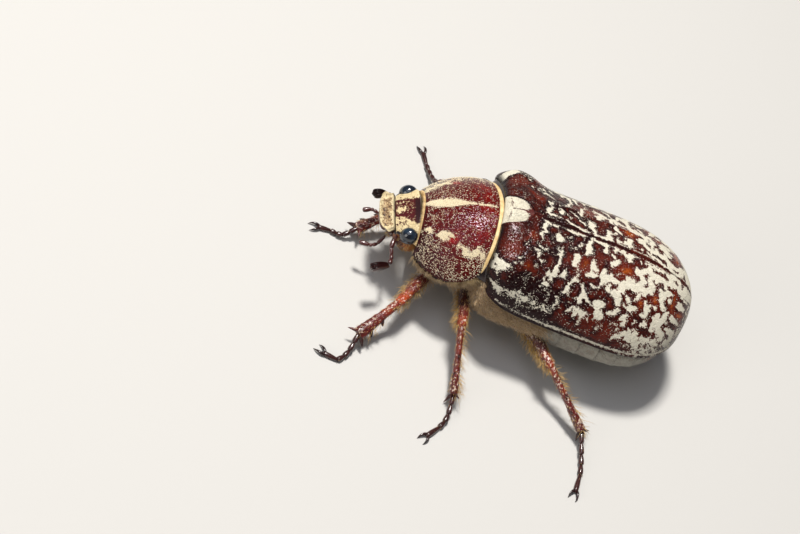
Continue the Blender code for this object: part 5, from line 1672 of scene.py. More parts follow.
@dataclass(frozen=True)
class Head(Part):
    """The head: brow, eyes, clypeus and mouthparts, with their scales."""

    # Each row: the distance along the face, the half width, the height over the widest place, the
    # depth, all in mm, and how much the ring leans with the face
    brow_rows: tuple[tuple[float, float, float, float, float], ...] = (
        (0.40, 2.95, 1.0, 2.73, 0.92), (0.95, 3.0, 1.05, 2.8, 0.8), (1.7, 2.95, 1.0, 2.8, 0.58),
        (2.3, 2.75, 0.9, 2.6, 0.42), (2.7, 2.55, 0.8, 2.3, 0.32), (3.05, 2.42, 0.72, 1.95, 0.2),
        (3.42, 2.2, 0.6, 1.6, 0.08))
    brow_rings: int = 90
    brow_sides: int = 120
    brow_power: float = 2.3
    brow_scales_per_mm2: float = 120.0
    brow_scales: Coat = Coat(Strand.SCALE, 0.22, 0.06, lift=0.25, stray=0.6)
    cheek_hairs_per_mm2: float = 26.0
    cheek_hair: Coat = Coat(Strand.HAIR, 0.55, 0.045, lift=0.45)
    snout_grid: tuple[int, int] = (60, 100)
    snout_scales_per_mm2: float = 130.0
    snout_scales: Coat = Coat(Strand.SCALE, 0.18, 0.055, lift=0.25, stray=0.6)
    lobe_at: Triple = (2.35, 2.45, -2.2)
    lobe_radii: Triple = (1.3, 1.0, 1.2)
    lobe_hairs_per_mm2: float = 22.0
    lobe_hair: Coat = Coat(Strand.HAIR, 0.42, 0.04, lift=0.5, stray=0.5)
    bulge_at: Triple = (3.3, 2.1, -1.8)
    bulge_radii: Triple = (0.55, 0.65, 0.9)
    mouth_middle: float = -1.64
    mouth_hairs_per_mm2: float = 14.0
    mouth_hair: Coat = Coat(Strand.HAIR, 0.45, 0.04, lift=0.5)

    @staticmethod
    def brow_patch(forward: Array, across: Array, place: Array) -> Array:
        """Return the field of the brow's scales: a broad band beside each eye, a spot between.

        It is the largest of the distances inside the bands, the spot and a thin line, with noise.

        Args:
            forward: how far down the face, in mm.
            across: how far across the face, in mm.
            place: the places in mm.

        Returns:
            The field, positive inside a patch.
        """
        rough = Grain(71).rough(place, 0.4) - 0.5
        fine = Grain(172).rough(place, 0.14) - 0.5
        back = np.clip((2.7 - forward) / 2.35, 0, 1)
        right = across - 1.45 + 0.10 * back
        left = -across - 0.85 - 1.15 * step_between(2.5, 0.7, forward)
        spot = 0.36 - np.hypot((forward - 2.4) * 0.8, across - 0.05)
        line = 0.05 - np.abs(across - 0.92 - 0.1 * back) - 0.3 * (forward < 1.3)
        best = np.maximum(np.maximum(right, np.minimum(left, 0.11)), np.maximum(spot, line))
        return np.minimum(best, 0.22) + 0.45 * rough + 1.15 * fine

    def brow(self) -> None:
        """Make the brow and the sides of the head, with the black groove before the clypeus, and painted shade on its
        rear strip next to the pronotum's front edge.

        Each ring is a superellipse with its half width, the height of its widest place under the
        top, its depth and its lean given by the rows of sizes at distances along the face.
        """
        rows = self.brow_rows
        f = np.linspace(rows[0][0], rows[-1][0], self.brow_rings)
        half, rise, depth, lean = (smooth([(row[0], row[k]) for row in rows])(f)[:, None] for k in (1, 2, 3, 4))
        angles = circle(self.brow_sides)
        across = np.sign(np.cos(angles)) * np.abs(np.cos(angles)) ** (2 / self.brow_power) * half
        sines = np.sign(np.sin(angles)) * np.abs(np.sin(angles)) ** (2 / self.brow_power)
        up = np.where(sines > 0, sines * rise, sines * (depth - rise)) - rise
        groove = step_between(3.05, 3.15, f)[:, None]
        up = up - 0.22 * groove * (sines > -0.2)
        forward = f[:, None] - lean * math.tan(HEAD.pitch) * up
        rings = HEAD.place(forward, across, up)
        facing = np.clip(up + 0.75, 0, 1)
        value = self.brow_patch(forward, across, rings)
        # Painted shade: the rear strip of the brow, next to the pronotum's front edge, gets the dark rim colour and
        # loses most of its scale patches
        shade = step_between(1.15, 0.8, forward) * step_between(-2.2, -1.8, across) * step_between(1.3, 1.0, across)
        cheek = step_between(-0.5, -0.9, up)
        ring = 0.17 - np.abs(np.hypot(forward - HEAD.eye_at[0], up - HEAD.eye_at[2]) - 1.16)
        ring = np.minimum(ring, 0.3 * (HEAD.eye_at[0] + 0.2 - forward)) + 0.3 * (Grain(79).rough(rings, 0.2) - 0.5)
        ring = np.clip(0.5 + ring / 0.3, 0, 1) * (np.abs(across) > 1.9) * (forward > 0.5)
        brow = np.clip(0.5 + value / 0.5, 0, 1) * (facing > 0.02) * (1 - groove) * (1 - 0.6 * shade)
        marks = {"patch": np.maximum(brow, ring), "tone": 0.5 + 0.5 * cheek, "rim": np.maximum(groove, 0.7 * shade)}
        place_mesh("head_shell", tube(rings, marks), self.finishes.face, ("head",))
        upper = rings[:, :self.brow_sides // 2 + 1]
        roots = Skin(upper, inward=faces_down(upper, 40, 30)).scatter(self.brow_scales_per_mm2, 73)
        local_f, local_c, _ = self.local(roots.place)
        value = self.brow_patch(local_f, local_c, roots.place)
        rng = np.random.default_rng(74)
        keep = (rng.random(len(roots)) < np.where(value > 0, 0.75, 0.12)) & (local_f < 2.9) & (local_f > 0.75)
        keep &= np.hypot(local_f - HEAD.eye_at[0], np.abs(local_c) - HEAD.eye_at[1]) > 0.62
        grown = self.brow_scales.grow(roots.take(keep), HEAD.direction(1, 0, 0), 75)
        place_mesh("head_scales", grown, self.finishes.yellow)
        roots = Skin(rings, closed=True).scatter(self.cheek_hairs_per_mm2, 76)
        local_f, local_c, local_u = self.local(roots.place)
        roots.normal = unit(roots.place - HEAD.place(local_f, 0 * local_f, -1.3 + 0 * local_f))
        roots = roots.take((local_u < -0.95) & (local_f > 0.6) & (local_f < 3.3))
        grown = self.cheek_hair.grow(roots, HEAD.direction(0.7, 0, -0.7), 77)
        place_mesh("cheek_hair", grown, self.finishes.gold)

    @staticmethod
    def local(place: Array) -> tuple[Array, Array, Array]:
        """Return forward, across and up in the head's frame for places of the body frame.

        Args:
            place: the places of the body frame in mm.

        Returns:
            How far forwards, across and up they lie, in mm.
        """
        d = place - np.array(HEAD.root)
        c, s = math.cos(HEAD.turn), math.sin(HEAD.turn)
        x, y = d[:, 0] * c + d[:, 1] * s, -d[:, 0] * s + d[:, 1] * c
        return (-(x * math.cos(HEAD.pitch) + d[:, 2] * math.sin(HEAD.pitch)), y,
                d[:, 2] * math.cos(HEAD.pitch) - x * math.sin(HEAD.pitch))

    def eyes(self) -> None:
        """Make the two eyes as ellipsoids, each with the dark ridge that reaches into its front.

        A ridge is an ellipse that shrinks evenly along a straight line.
        """
        for name, side in (("left", -1), ("right", 1)):
            globe = tube(HEAD.place(*ellipsoid(HEAD.eye_at, HEAD.eye_radii, 36, 48, side)))
            place_mesh("eye_globe_" + name, globe, self.finishes.eye, ("eye_" + name,))
        ridges = []
        for side in (-1, 1):
            path = HEAD.place(np.linspace(3.05, 1.95, 14), side * np.linspace(2.30, 3.42, 14),
                              np.linspace(-0.62, -0.72, 14))
            halves = np.stack([np.linspace(0.20, 0.13, 14), np.linspace(0.16, 0.09, 14)], axis=1)
            ridges.append(tube(tube_rings(path, UP, halves, 12)))
        place_mesh("eye_ridges", plain_marks(joined(ridges), 0.0, 0.6), self.finishes.face)

    def clypeus(self) -> None:
        """Make the plate over the mouth, cream with a speckled middle and an upturned front edge.

        Its half width and thickness are smooth curves of the way along it. A power of the share
        across rounds its front corners, a square lifts its front, and bells make its lip.
        """
        rows, columns = self.snout_grid
        f, c = np.meshgrid(np.linspace(HEAD.seam + 0.06, HEAD.front - 0.04, rows), arc(-1, 1, columns),
                           indexing="ij")
        half = smooth(((3.23, 2.34), (3.6, 2.36), (4.1, 2.47), (4.45, HEAD.half_width), (4.66, 2.42)))(f)
        thick = smooth(((3.23, 0.55), (4.1, 0.58), (4.45, 0.62), (4.66, 0.56)))(f)
        lift = 0.42 * np.clip((f - 4.05) / 0.6, 0, 1) ** 2 + 0.15 * np.clip((np.abs(c) - 0.8) / 0.2, 0, 1)
        share = np.clip((f - 3.4) / 1.3, 0, 1)
        front = f - 0.68 * np.abs(c) ** 4.6 * share
        near = np.minimum(HEAD.front - f, (1 - np.abs(c)) * half * 1.6)
        lip = 0.14 * bell(near, 0.0, 0.10) - 0.12 * bell(near, 0.24, 0.16)
        outer = HEAD.place(front, half * c, lift + 0.10 * (1 - c ** 2) - lip)
        inner = HEAD.place(front - 0.06, half * c * 0.97, lift - thick)
        value = self.snout_patch(front, half * c, near, outer)
        marks = {"patch": np.clip(0.5 + value / 0.6, 0, 1), "tone": -0.6 + 2.2 * Grain(87).rough(outer, 0.14),
                 "rim": 0.8 * bell(f, HEAD.seam + 0.04, 0.05)}
        place_mesh("clypeus_plate", slab(outer, inner, marks), self.finishes.snout, ("clypeus",))
        skin = Skin(outer, inward=faces_down(outer, rows // 2, columns // 2))
        roots = skin.scatter(self.snout_scales_per_mm2, 82)
        local_f, local_c, _ = self.local(roots.place)
        share = np.clip((local_f - 3.4) / 1.3, 0, 1)
        near = np.minimum(HEAD.front - local_f - np.abs(local_c / 2.5) ** 3.5 * share, (2.45 - np.abs(local_c)) * 1.6)
        value = self.snout_patch(local_f, local_c, near, roots.place)
        keep = np.random.default_rng(83).random(len(roots)) < np.where(value > 0, 0.70, 0.38)
        roots = roots.take(keep & (local_f > 3.36) & (near > 0.08))
        grown = self.snout_scales.grow(roots, HEAD.direction(1, 0, 0), 84)
        place_mesh("clypeus_scales", grown, self.finishes.yellow)

    @staticmethod
    def snout_patch(forward: Array, across: Array, near: Array, place: Array) -> Array:
        """Return the field of the clypeus's scales: a broad border, and specks in its middle.

        It is the largest of the distances inside the border, the rear and the sides, with noise.

        Args:
            forward: how far down the face, in mm.
            across: how far across the face, in mm.
            near: the distance to the free edge, in mm.
            place: the places in mm.

        Returns:
            The field, positive inside a patch.
        """
        rough = Grain(81).rough(place, 0.25) - 0.5
        border = 0.33 - near
        rear = 0.29 - (forward - HEAD.seam)
        sides = np.abs(across) - 1.75
        fine = Grain(88).rough(place, 0.11) - 0.5
        return np.clip(np.maximum(np.maximum(border, rear), sides), -0.26, 0.24) + 0.85 * rough + 0.8 * fine

    def cheeks(self) -> None:
        """Make the rounded cheek below each eye, orange-brown with yellow scales at its rear, and its hair.

        Each cheek is an ellipsoid with a smaller one before it.
        """
        lobes, groups = [], []
        for side in (-1, 1):
            f, y, u = ellipsoid(self.lobe_at, self.lobe_radii, 40, 48, side)
            rings = HEAD.place(f, y, u)
            grain = Grain(89).rough(rings, 0.2) - 0.5
            rear = np.clip(0.5 + (1.55 - f + 1.2 * grain) / 0.5, 0, 1)
            tone = 1.0 + 0.8 * grain - 0.45 * step_between(2.5, 3.1, f)
            lobes.append(tube(rings, {"patch": rear, "tone": tone, "rim": 0 * f}))
            roots = Skin(rings, closed=True).scatter(self.lobe_hairs_per_mm2, 90)
            roots.normal = unit(roots.place - HEAD.place(self.lobe_at[0], side * self.lobe_at[1], self.lobe_at[2]))
            groups.append(roots)
            bulge = HEAD.place(*ellipsoid(self.bulge_at, self.bulge_radii, 40, 48, side))
            grain = Grain(92).rough(bulge, 0.25) - 0.5
            lobes.append(tube(bulge, {"patch": 0 * grain, "tone": 0.72 + 0.7 * grain, "rim": 0 * grain}))
        place_mesh("cheek_lobes", joined(lobes), self.finishes.face)
        grown = self.lobe_hair.grow(all_roots(groups), HEAD.direction(0.2, 0, -1.0), 91)
        place_mesh("cheek_lobe_hair", grown, self.finishes.gold)

    def mouth(self) -> None:
        """Make the jaws and lip under the clypeus as rounded lobes, with short golden hair.

        The jaws are ellipses along the face whose radii wave four times a turn, and the lip is an
        ellipsoid.
        """
        f = np.linspace(3.6, 4.62, 26)
        half = smooth(((3.6, 1.35), (3.82, 1.8), (4.15, 1.72), (4.42, 1.35), (4.62, 0.8)))(f)
        deep = smooth(((3.6, 0.42), (3.82, 0.72), (4.15, 0.7), (4.42, 0.5), (4.62, 0.24)))(f)
        angles = circle(72)
        lobes = 1 + 0.07 * np.cos(angles * 4)
        rings = HEAD.place(f[:, None], half[:, None] * np.cos(angles) * lobes,
                           self.mouth_middle + deep[:, None] * np.sin(angles) * lobes)
        marks = {"tone": np.full(rings.shape[:2], 0.6), "patch": np.zeros(rings.shape[:2]),
                 "rim": np.broadcast_to(0.5 * (np.cos(angles * 4) < -0.8), rings.shape[:2]).astype(float)}
        lip = tube(HEAD.place(*ellipsoid((4.5, 0.0, -0.55), (0.52, 1.75, 0.40), 24, 40, -1)))
        lip = plain_marks(lip, 0.75)
        place_mesh("mouth_lobes", joined((tube(rings, marks), lip)), self.finishes.feeler,
                   ("mouthparts",))
        roots = Skin(rings, closed=True).scatter(self.mouth_hairs_per_mm2, 85)
        roots.normal = unit(roots.place - HEAD.place(4.0, 0.0, self.mouth_middle))
        grown = self.mouth_hair.grow(roots, HEAD.direction(1, 0, -0.4), 86)
        place_mesh("mouth_hair", grown, self.finishes.gold)

    def make(self) -> None:
        """Make every piece of the head."""
        self.brow()
        self.eyes()
        self.cheeks()
        self.clypeus()
        self.mouth()


def plain_marks(surface: Surface, tone: float, rim: float = 0.0) -> Surface:
    """Give a surface one tone, one rim value and no patches, and return it.

    Args:
        surface: the surface.
        tone: its tone.
        rim: how dark it is.

    Returns:
        The surface itself.
    """
    count = len(surface.points)
    surface.marks = {"tone": np.full(count, tone), "patch": np.zeros(count), "rim": np.full(count, rim)}
    return surface


def beads(path: Sequence[Sequence[float]], radii: Sequence[float], sides: int = 20, waist: float = 0.7,
          swell_at: float = 0.62) -> list[Surface]:
    """Return one rounded bead between each two places of a path, each widest past its middle.

    A bead's radius is its waist with a power of a sine added, closed by a quarter circle at each end.

    Args:
        path: the places where one bead ends and the next begins.
        radii: the radius of each bead.
        sides: how many points to a ring.
        waist: a bead's width at its start, as a share of its radius.
        swell_at: the share of the way at which it is widest.

    Returns:
        One surface for each bead.
    """
    path = np.asarray(path, float)
    made = []
    for start, end, radius in zip(path[:-1], path[1:], radii):
        t = np.linspace(0, 1, 14)
        shape = waist + (1 - waist) * np.sin(np.pi * np.clip(t / (2 * swell_at), 0, 1)) ** 1.2
        close = np.sqrt(np.clip(1 - np.clip((t - 0.86) / 0.14, 0, 1) ** 2, 0.02, 1))
        open_ = np.sqrt(np.clip(1 - np.clip((0.08 - t) / 0.08, 0, 1) ** 2, 0.02, 1))
        run = start + np.outer(t * 1.06 - 0.03, end - start)
        halves = np.outer(radius * shape * close * open_, (1, 1))
        along = unit(end - start)
        across = UP if abs(along[2]) < 0.9 else np.array((1.0, 0.0, 0.0))
        made.append(tube(tube_rings(run, across, halves, sides)))
    return made


@dataclass(frozen=True)
class FeelerShape:
    """Where the joints of one feeler's stalk and of its palp lie, and the ends of its club."""

    side: int
    stalk: tuple[Triple, ...]
    club: tuple[Triple, Triple]
    palp: tuple[Triple, ...]
    club_tone: float


FEELERS = {
    "left": FeelerShape(-1, ((-13.5, -3.05, 6.13), (-13.55, -4.1, 5.75), (-13.3, -4.7, 5.45), (-13.2, -5.2, 5.3),
                             (-13.25, -5.75, 5.2)),
                        ((-13.3, -5.95, 5.2), (-15.2, -7.1, 5.08)),
                        ((-14.15, -2.05, 4.85), (-14.6, -2.75, 4.05), (-15.05, -3.1, 3.95), (-15.4, -3.15, 3.85),
                         (-16.45, -3.05, 3.6)), 0.5),
    "right": FeelerShape(1, ((-14.0, 1.67, 6.07), (-14.35, 2.1, 6.0), (-14.55, 2.3, 6.05), (-14.75, 2.4, 6.1),
                             (-14.98, 2.4, 6.12)),
                         ((-15.15, 2.35, 6.12), (-16.75, 1.75, 6.05)),
                         ((-14.72, 0.23, 4.95), (-15.35, 0.75, 4.6), (-15.8, 0.95, 4.6), (-16.1, 1.0, 4.5),
                          (-16.9, 0.75, 4.2)), 0.2),
}


@dataclass(frozen=True)
class Feelers(Part):
    """The two feelers with their leafed clubs, and the two palps."""

    stalk_radii: tuple[float, ...] = (0.27, 0.22, 0.22, 0.25)
    palp_radii: tuple[float, ...] = (0.2, 0.2, 0.2, 0.27)
    leaves: int = 5
    leaf_step: float = 0.15
    leaf_half: tuple[float, float] = (0.47, 0.05)

    def club(self, shape: FeelerShape) -> list[Surface]:
        """Return the thin leaves of a club, laid close side by side and fanned a little.

        A leaf's half width is a power of a sine of the way along it, which widens to the tip.

        Args:
            shape: the places of its feeler.

        Returns:
            One surface for each leaf.
        """
        made = []
        start, end = (np.array(place) for place in shape.club)
        along = unit(end - start)
        beside = unit(np.cross(along, UP)) * shape.side
        for k in range(self.leaves):
            shift = (k - (self.leaves - 1) / 2) * self.leaf_step
            tip = end + beside * shift * 1.35 - along * 0.10 * abs(k - 2)
            t = np.linspace(0.0, 1.0, 24)
            path = start + beside * shift * 0.7 + np.outer(t, tip - start - beside * shift * 0.7)
            full = np.sin(np.pi * np.clip(t * 0.93 + 0.05, 0, 1)) ** 0.55 * (0.72 + 0.4 * t)
            halves = np.stack([self.leaf_half[0] * full, self.leaf_half[1] * np.clip(full * 1.3, 0.1, 1)], axis=1)
            made.append(plain_marks(tube(tube_rings(path, UP, halves, 20)), shape.club_tone - 0.3 * (k % 2)))
        return made

    def make(self) -> None:
        """Make the stalks, clubs and palps."""
        made_of = self.finishes.feeler
        for name, shape in FEELERS.items():
            stalk = joined([plain_marks(bead, 0.5) for bead in beads(shape.stalk, self.stalk_radii)])
            place_mesh("antenna_beads_" + name, stalk, made_of, ("antenna_stalk_" + name,))
            club = joined(self.club(shape))
            place_mesh("antenna_leaves_" + name, club, made_of, ("antenna_club_" + name,))
            palp = joined([plain_marks(bead, 0.6) for bead in beads(shape.palp, self.palp_radii)])
            place_mesh("palp_beads_" + name, palp, made_of, ("palp_" + name,))


# ---- the underside


@dataclass(frozen=True)
class Trunk(Part):
    """The breast and belly as one skin from the neck to the tail, with the hips and their pile."""

    rows: int = 320
    columns: int = 145
    belly_z: float = 2.35
    flank_z: float = 6.5
    flank_inset: float = 0.5
    core_inset: float = 0.95
    neck_half: tuple[float, float] = (6.35, 6.25)
    wall_from: float = 0.82
    sternum_z: tuple[float, float] = (4.6, 3.6)
    front_x: float = -11.2
    breast_front_x: float = -4.4
    tail_x: float = 18.2
    seams: tuple[float, ...] = (6.6, 8.9, 11.1, 13.3, 15.4)
    coat_depth: float = 0.12
    roots_per_mm2: float = 80.0
    lie: Triple = (1.0, 0.0, -0.25)
    pile: Coat = Coat(Strand.HAIR, 1.15, 0.045, lift=0.7, stray=0.6, bend=0.6)
    down: Coat = Coat(Strand.SCALE, 0.34, 0.05, lift=0.22, stray=0.45)

    def ring(self, x: Array, a: Array) -> Array:
        """Return the skin at x and at a, from -1 at the left edge under the covers to 1 at the right.

        Below the flank's height each section is a superellipse down to the belly, and above it the
        wall leans in to meet the inside of the wing covers. Ahead of the breast it narrows to the
        keel under the pronotum, turned with the pronotum.

        Args:
            x: how far along the body, in mm.
            a: how far from the left edge, -1, to the right edge, 1.

        Returns:
            The points, in mm.
        """
        neck = np.clip((x - SHIELD.base_x - 0.3) / 2.6, 0, 1)
        neck = np.sqrt(1 - (1 - neck) ** 2)
        low_half, high_half = self.neck_half
        full = COVER.width(np.clip(x, -4.7, None)) - self.flank_inset
        core = COVER.width(x, self.core_inset)
        flank = np.minimum(full, low_half + (full - low_half) * neck)
        width = np.where(x < 0, high_half + (core - high_half) * neck, core)
        flank = np.maximum(flank, width * 1.01)
        tail = np.clip((x - 11.0) / (self.tail_x + 0.15 - 11.0), 0, 1)
        belly = self.belly_z + 0.9 * (1 - neck) + (self.flank_z - self.belly_z) * (1 - (1 - tail ** 4.2) ** 0.6)
        high = COVER.margin(x) - 0.1
        power = 2.2 + 0.6 * step_between(3.0, 5.0, x)
        s = np.clip((x - SHIELD.front_x) / (SHIELD.base_x - 0.3 - SHIELD.front_x), 0, 1.05)
        fore = step_between(-4.0, -5.4, x)
        fore_half = three_way(SHIELD.half_widths, s) * 0.9
        fore_top = three_way(SHIELD.margin_z, s * 0.95) - SHIELD.edge - 0.12
        fore_low = self.sternum_z[0] + (self.sternum_z[1] - self.sternum_z[0]) * s
        flank = flank * (1 - fore) + fore_half * fore
        width = width * (1 - fore) + fore_half * 0.98 * fore
        high = high * (1 - fore) + fore_top * fore
        wall_z = self.flank_z * (1 - fore) + (fore_top - 0.15) * fore
        belly = belly * (1 - fore) + fore_low * fore
        under = np.abs(a) < self.wall_from
        angle = np.clip(np.abs(a) / self.wall_from, 0, 1) * np.pi / 2
        y_low = flank * np.sin(angle) ** (2 / power)
        z_low = wall_z - (wall_z - belly) * np.abs(np.cos(angle)) ** (2 / power)
        climb = np.clip((np.abs(a) - self.wall_from) / (1 - self.wall_from), 0, 1)
        y = np.where(under, y_low, flank + (width - flank) * climb)
        z = np.where(under, z_low, wall_z + (high - wall_z) * climb)
        place = np.stack([x, np.sign(a) * y, z], axis=-1)
        lean = math.tan(SHIELD.turn) * np.clip(x / self.breast_front_x, 0, 1) * (1 - fore)
        place[..., 0] -= place[..., 1] * lean
        turned = SHIELD.turned(place)
        return place * (1 - fore[..., None]) + turned * fore[..., None]

    def skin(self) -> Skin:
        """Make the skin, stepped at each belly plate, and return its grid.

        The rings' surface is moved along its normals: it swells before a seam and dips behind it,
        both fading as an exponential. Over the top it is closed by an arch.

        Returns:
            The skin that the coats grow on.
        """
        share = 1 - (1 - np.linspace(0, 1, self.rows)) ** 1.4
        x, a = np.meshgrid(self.front_x + (self.tail_x + 0.14 - self.front_x) * share,
                           np.linspace(-1, 1, self.columns), indexing="ij")
        outer = self.ring(x, a)
        normal = normals_of(outer)
        normal *= -np.sign(normal[self.rows // 2, self.columns // 2, 2])
        slant = 0.9 * (1 - np.abs(np.clip(a, -1, 1)) ** 2)
        seam = np.zeros_like(x)
        step = np.zeros_like(x)
        for at in self.seams:
            past = x - at + 0.9 - slant
            seam = np.maximum(seam, bell(past, 0.0, 0.09))
            before = 0.07 * np.exp(-np.clip(-past, 0, None) / 0.7) * (past < 0)
            step += before - 0.03 * np.exp(-np.clip(past, 0, None) / 0.3) * (past >= 0)
        outer = outer + normal * (step - self.coat_depth)[..., None]
        belly = step_between(3.4, 5.2, x + 0.6 * (Grain(91).rough(outer, 1.0) - 0.5))
        rear = step_between(15.2, 17.2, x)
        marks = {"belly": belly, "plate": rear, "seam": np.clip(seam * 0.6, 0, 1)}
        c = np.linspace(-1, 1, self.columns)[None] * 0.999
        high = np.minimum(COVER.top(x, self.core_inset) - 0.1, 11.5 + 0.29 * (x - SHIELD.base_x))
        high = np.where(x < -4.6, outer[:, :1, 2] + 0.3, high)
        top = outer[:, :1] + (outer[:, -1:] - outer[:, :1]) * ((c + 1) / 2)[..., None]
        top[..., 2] += np.maximum(high - outer[:, :1, 2], 0.0) * COVER.arch(c)
        closed = np.concatenate([outer, top[:, ::-1]], axis=1)
        kept = {name: np.concatenate([value, value[:, ::-1] * (name != "seam")], axis=1)
                for name, value in marks.items()}
        whole = joined([tube(closed, kept), *(self.hip(leg) for leg in LEGS.values())])
        nodes = ["prosternum", "metathorax", "abdomen", "pygidium", *("coxa_" + name for name in LEGS)]
        place_mesh("trunk_skin", whole, self.finishes.hide, nodes)
        return Skin(outer, inward=not faces_down(outer, self.rows // 2, self.columns // 2))

    @staticmethod
    def hip(leg: LegShape) -> Surface:
        """Return one hip, a short spindle set in the breast.

        Its radius is a smooth curve of the way along it, times the closing of its ends.

        Args:
            leg: where the leg's joints lie.

        Returns:
            The spindle.
        """
        side = math.copysign(1.0, leg.coxa[1])
        inner = np.array(leg.coxa) + (0.15, -side * 1.35, 0.45)
        outer = np.array(leg.coxa) + unit(np.subtract(leg.knee, leg.coxa)) * 0.75
        t = np.linspace(0, 1, 16)
        wide = smooth(((0, 0.71), (0.45, 0.95), (1, 0.68)))(t) * closing(t, 0.25, 0.2)
        rings = tube_rings(inner + np.outer(t, outer - inner), UP, np.outer(wide, (1, 1)), 24)
        made = tube(rings)
        made.marks = {name: np.zeros(len(made.points)) for name in ("belly", "plate", "seam")}
        return made

    @staticmethod
    def hip_roots(leg: LegShape, seed: int) -> Roots:
        """Return the roots of the hair on one hip.

        Args:
            leg: where the leg's joints lie.
            seed: seeds the random draws.

        Returns:
            The roots.
        """
        side = math.copysign(1.0, leg.coxa[1])
        inner = np.array(leg.coxa) + (0.15, -side * 1.0, 0.4)
        outer = np.array(leg.coxa) + unit(np.subtract(leg.knee, leg.coxa)) * 1.3
        t = np.linspace(0, 1, 12)
        wide = np.full(12, 0.85)
        roots = Skin(tube_rings(inner + np.outer(t, outer - inner), UP, np.outer(wide, (1, 1)), 16),
                     closed=True).scatter(26.0, seed)
        return Legs.outward(roots, inner, outer)

    def coats(self, skin: Skin) -> None:
        """Grow tan pile on the breast and short grey down on the belly.

        A smooth step along the body shares the roots between the two, and noise thins the down.

        Args:
            skin: the skin that they grow on.
        """
        roots = skin.scatter(self.roots_per_mm2, 92)
        x = roots.place[:, 0]
        rng = np.random.default_rng(93)
        share = step_between(5.4, 3.2, x)
        breast = rng.random(len(roots)) < share * 0.38
        hips = all_roots([roots.take(breast), *(self.hip_roots(leg, 96 + k) for k, leg in enumerate(LEGS.values()))])
        clump = Grain(97).value(hips.place, 0.5)
        pile = self.pile.grow(hips, self.lie, 94, 0.7 + 0.6 * clump)
        place_mesh("breast_pile", pile, self.finishes.pile)
        thick = 0.35 + 0.5 * step_between(0.35, 0.65, Grain(98).rough(roots.place, 0.9))
        belly = rng.random(len(roots)) < (1 - share) * thick
        place_mesh("belly_down", self.down.grow(roots.take(belly), self.lie, 95), self.finishes.grey)

    def make(self) -> None:
        """Make the skin and its coats."""
        self.coats(self.skin())


# ---- the legs


@dataclass(frozen=True)
class LegShape:
    """Where one leg's joints lie, in millimetres of the body frame."""

    coxa: tuple[float, float, float]
    knee: tuple[float, float, float]
    ankle: tuple[float, float, float]
    foot: tuple[Triple, ...]
    claws: tuple[float, float]


LEGS = {
    "fore_left": LegShape((-7.7, -2.1, 4.1), (-11.15, -9.15, 3.9), (-14.1, -12.95, 1.45),
                          ((-14.62, -15.0, 0.42), (-15.7, -16.1, 0.24), (-17.0, -15.75, 0.2)), (-0.80, 0.60)),
    "fore_right": LegShape((-7.7, 2.1, 4.1), (-12.5, 3.6, 3.2), (-16.45, 0.4, 1.5),
                           ((-17.75, -0.4, 0.5), (-19.05, -0.1, 0.24), (-20.3, -0.25, 0.2)), (-0.95, -0.30)),
    "mid_left": LegShape((-4.1, -2.4, 3.5), (-4.35, -9.9, 4.9), (-2.95, -16.0, 1.45),
                         ((-3.0, -18.6, 0.45), (-3.85, -20.1, 0.24), (-4.7, -21.15, 0.2)), (-0.55, -0.80)),
    "mid_right": LegShape((-4.1, 2.4, 3.5), (-2.9, 8.5, 5.2), (-8.5, 10.4, 1.6),
                          ((-9.35, 12.9, 0.45), (-9.9, 14.4, 0.24), (-10.3, 15.45, 0.2)), (-0.40, 0.92)),
    "hind_left": LegShape((1.7, -3.0, 3.3), (6.2, -10.5, 4.5), (11.6, -14.6, 1.45),
                          ((12.4, -18.2, 0.45), (12.45, -19.9, 0.24), (12.15, -21.4, 0.2)), (-0.25, -0.97)),
    "hind_right": LegShape((1.7, 3.0, 3.3), (6.4, 10.0, 4.6), (12.1, 12.5, 1.5),
                           ((14.5, 13.5, 0.45), (15.9, 14.4, 0.24), (17.0, 15.2, 0.2)), (0.80, 0.60)),
}


@dataclass(frozen=True)
class PairShape:
    """What the two legs of a pair share: half sizes in mm, tones, hair and spurs.

    A half size is the half width and the half depth of the limb at its widest. A spur is how far
    its tip stands to the side, past the shin's end and inwards.
    """

    femur_half: tuple[float, float]
    tibia_half: tuple[float, float]
    femur_darker: float
    speckled: float
    flare: float
    fringe: float
    toothed: bool
    spurs: tuple[Triple, ...]


class LegPair(Enum):
    """The three pairs of legs. The front pair has digging teeth, the others thorns and two spurs."""

    FORE = PairShape((0.98, 0.65), (0.56, 0.40), -0.05, 0.0, 1.35, 0.45, True, ((-0.1, 0.35, 1.15),))
    MID = PairShape((0.95, 0.65), (0.50, 0.40), 0.15, 0.0, 1.5, 0.85, False,
                    ((-0.95, 0.8, 0.6), (-0.35, 0.7, 0.8)))
    HIND = PairShape((1.3, 0.75), (0.54, 0.42), 0.15, 0.05, 1.5, 0.85, False,
                     ((-0.95, 0.8, 0.6), (-0.35, 0.7, 0.8)))


def closing(t: Array, start: float, end: float) -> Array:
    """Return how a limb's thickness closes to a dome at each end, for shares t from 0 to 1."""
    opening, ending = np.clip(t / start, 0, 1), np.clip((1 - t) / end, 0, 1)
    return np.sqrt(1 - (1 - opening) ** 2) * np.sqrt(1 - (1 - ending) ** 2) * 0.92 + 0.08


def cone(root: Array, tip: Array, radius: float, bow: Array | None = None, sides: int = 12) -> Surface:
    """Return a spine from a root to a pointed tip, bowed by a vector at its middle.

    Its radius falls as a power of one less a power of the way along it.

    Args:
        root: the middle of its base.
        tip: its point.
        radius: its radius at the base, in mm.
        bow: how far its middle is pushed aside.
        sides: how many points to a ring.

    Returns:
        The spine.
    """
    t = np.linspace(0, 1, 12)
    path = root + np.outer(t, tip - root) + (0 if bow is None else np.outer(np.sin(np.pi * t), bow))
    along = unit(tip - root)
    across = unit(np.cross(along, UP + np.array((0.3, 0.1, 0.0))))
    halves = np.outer(radius * (1 - t ** 1.6) ** 0.8 * 0.98 + 0.02 * radius, (1, 1))
    return tube(tube_rings(path, across, halves, sides))


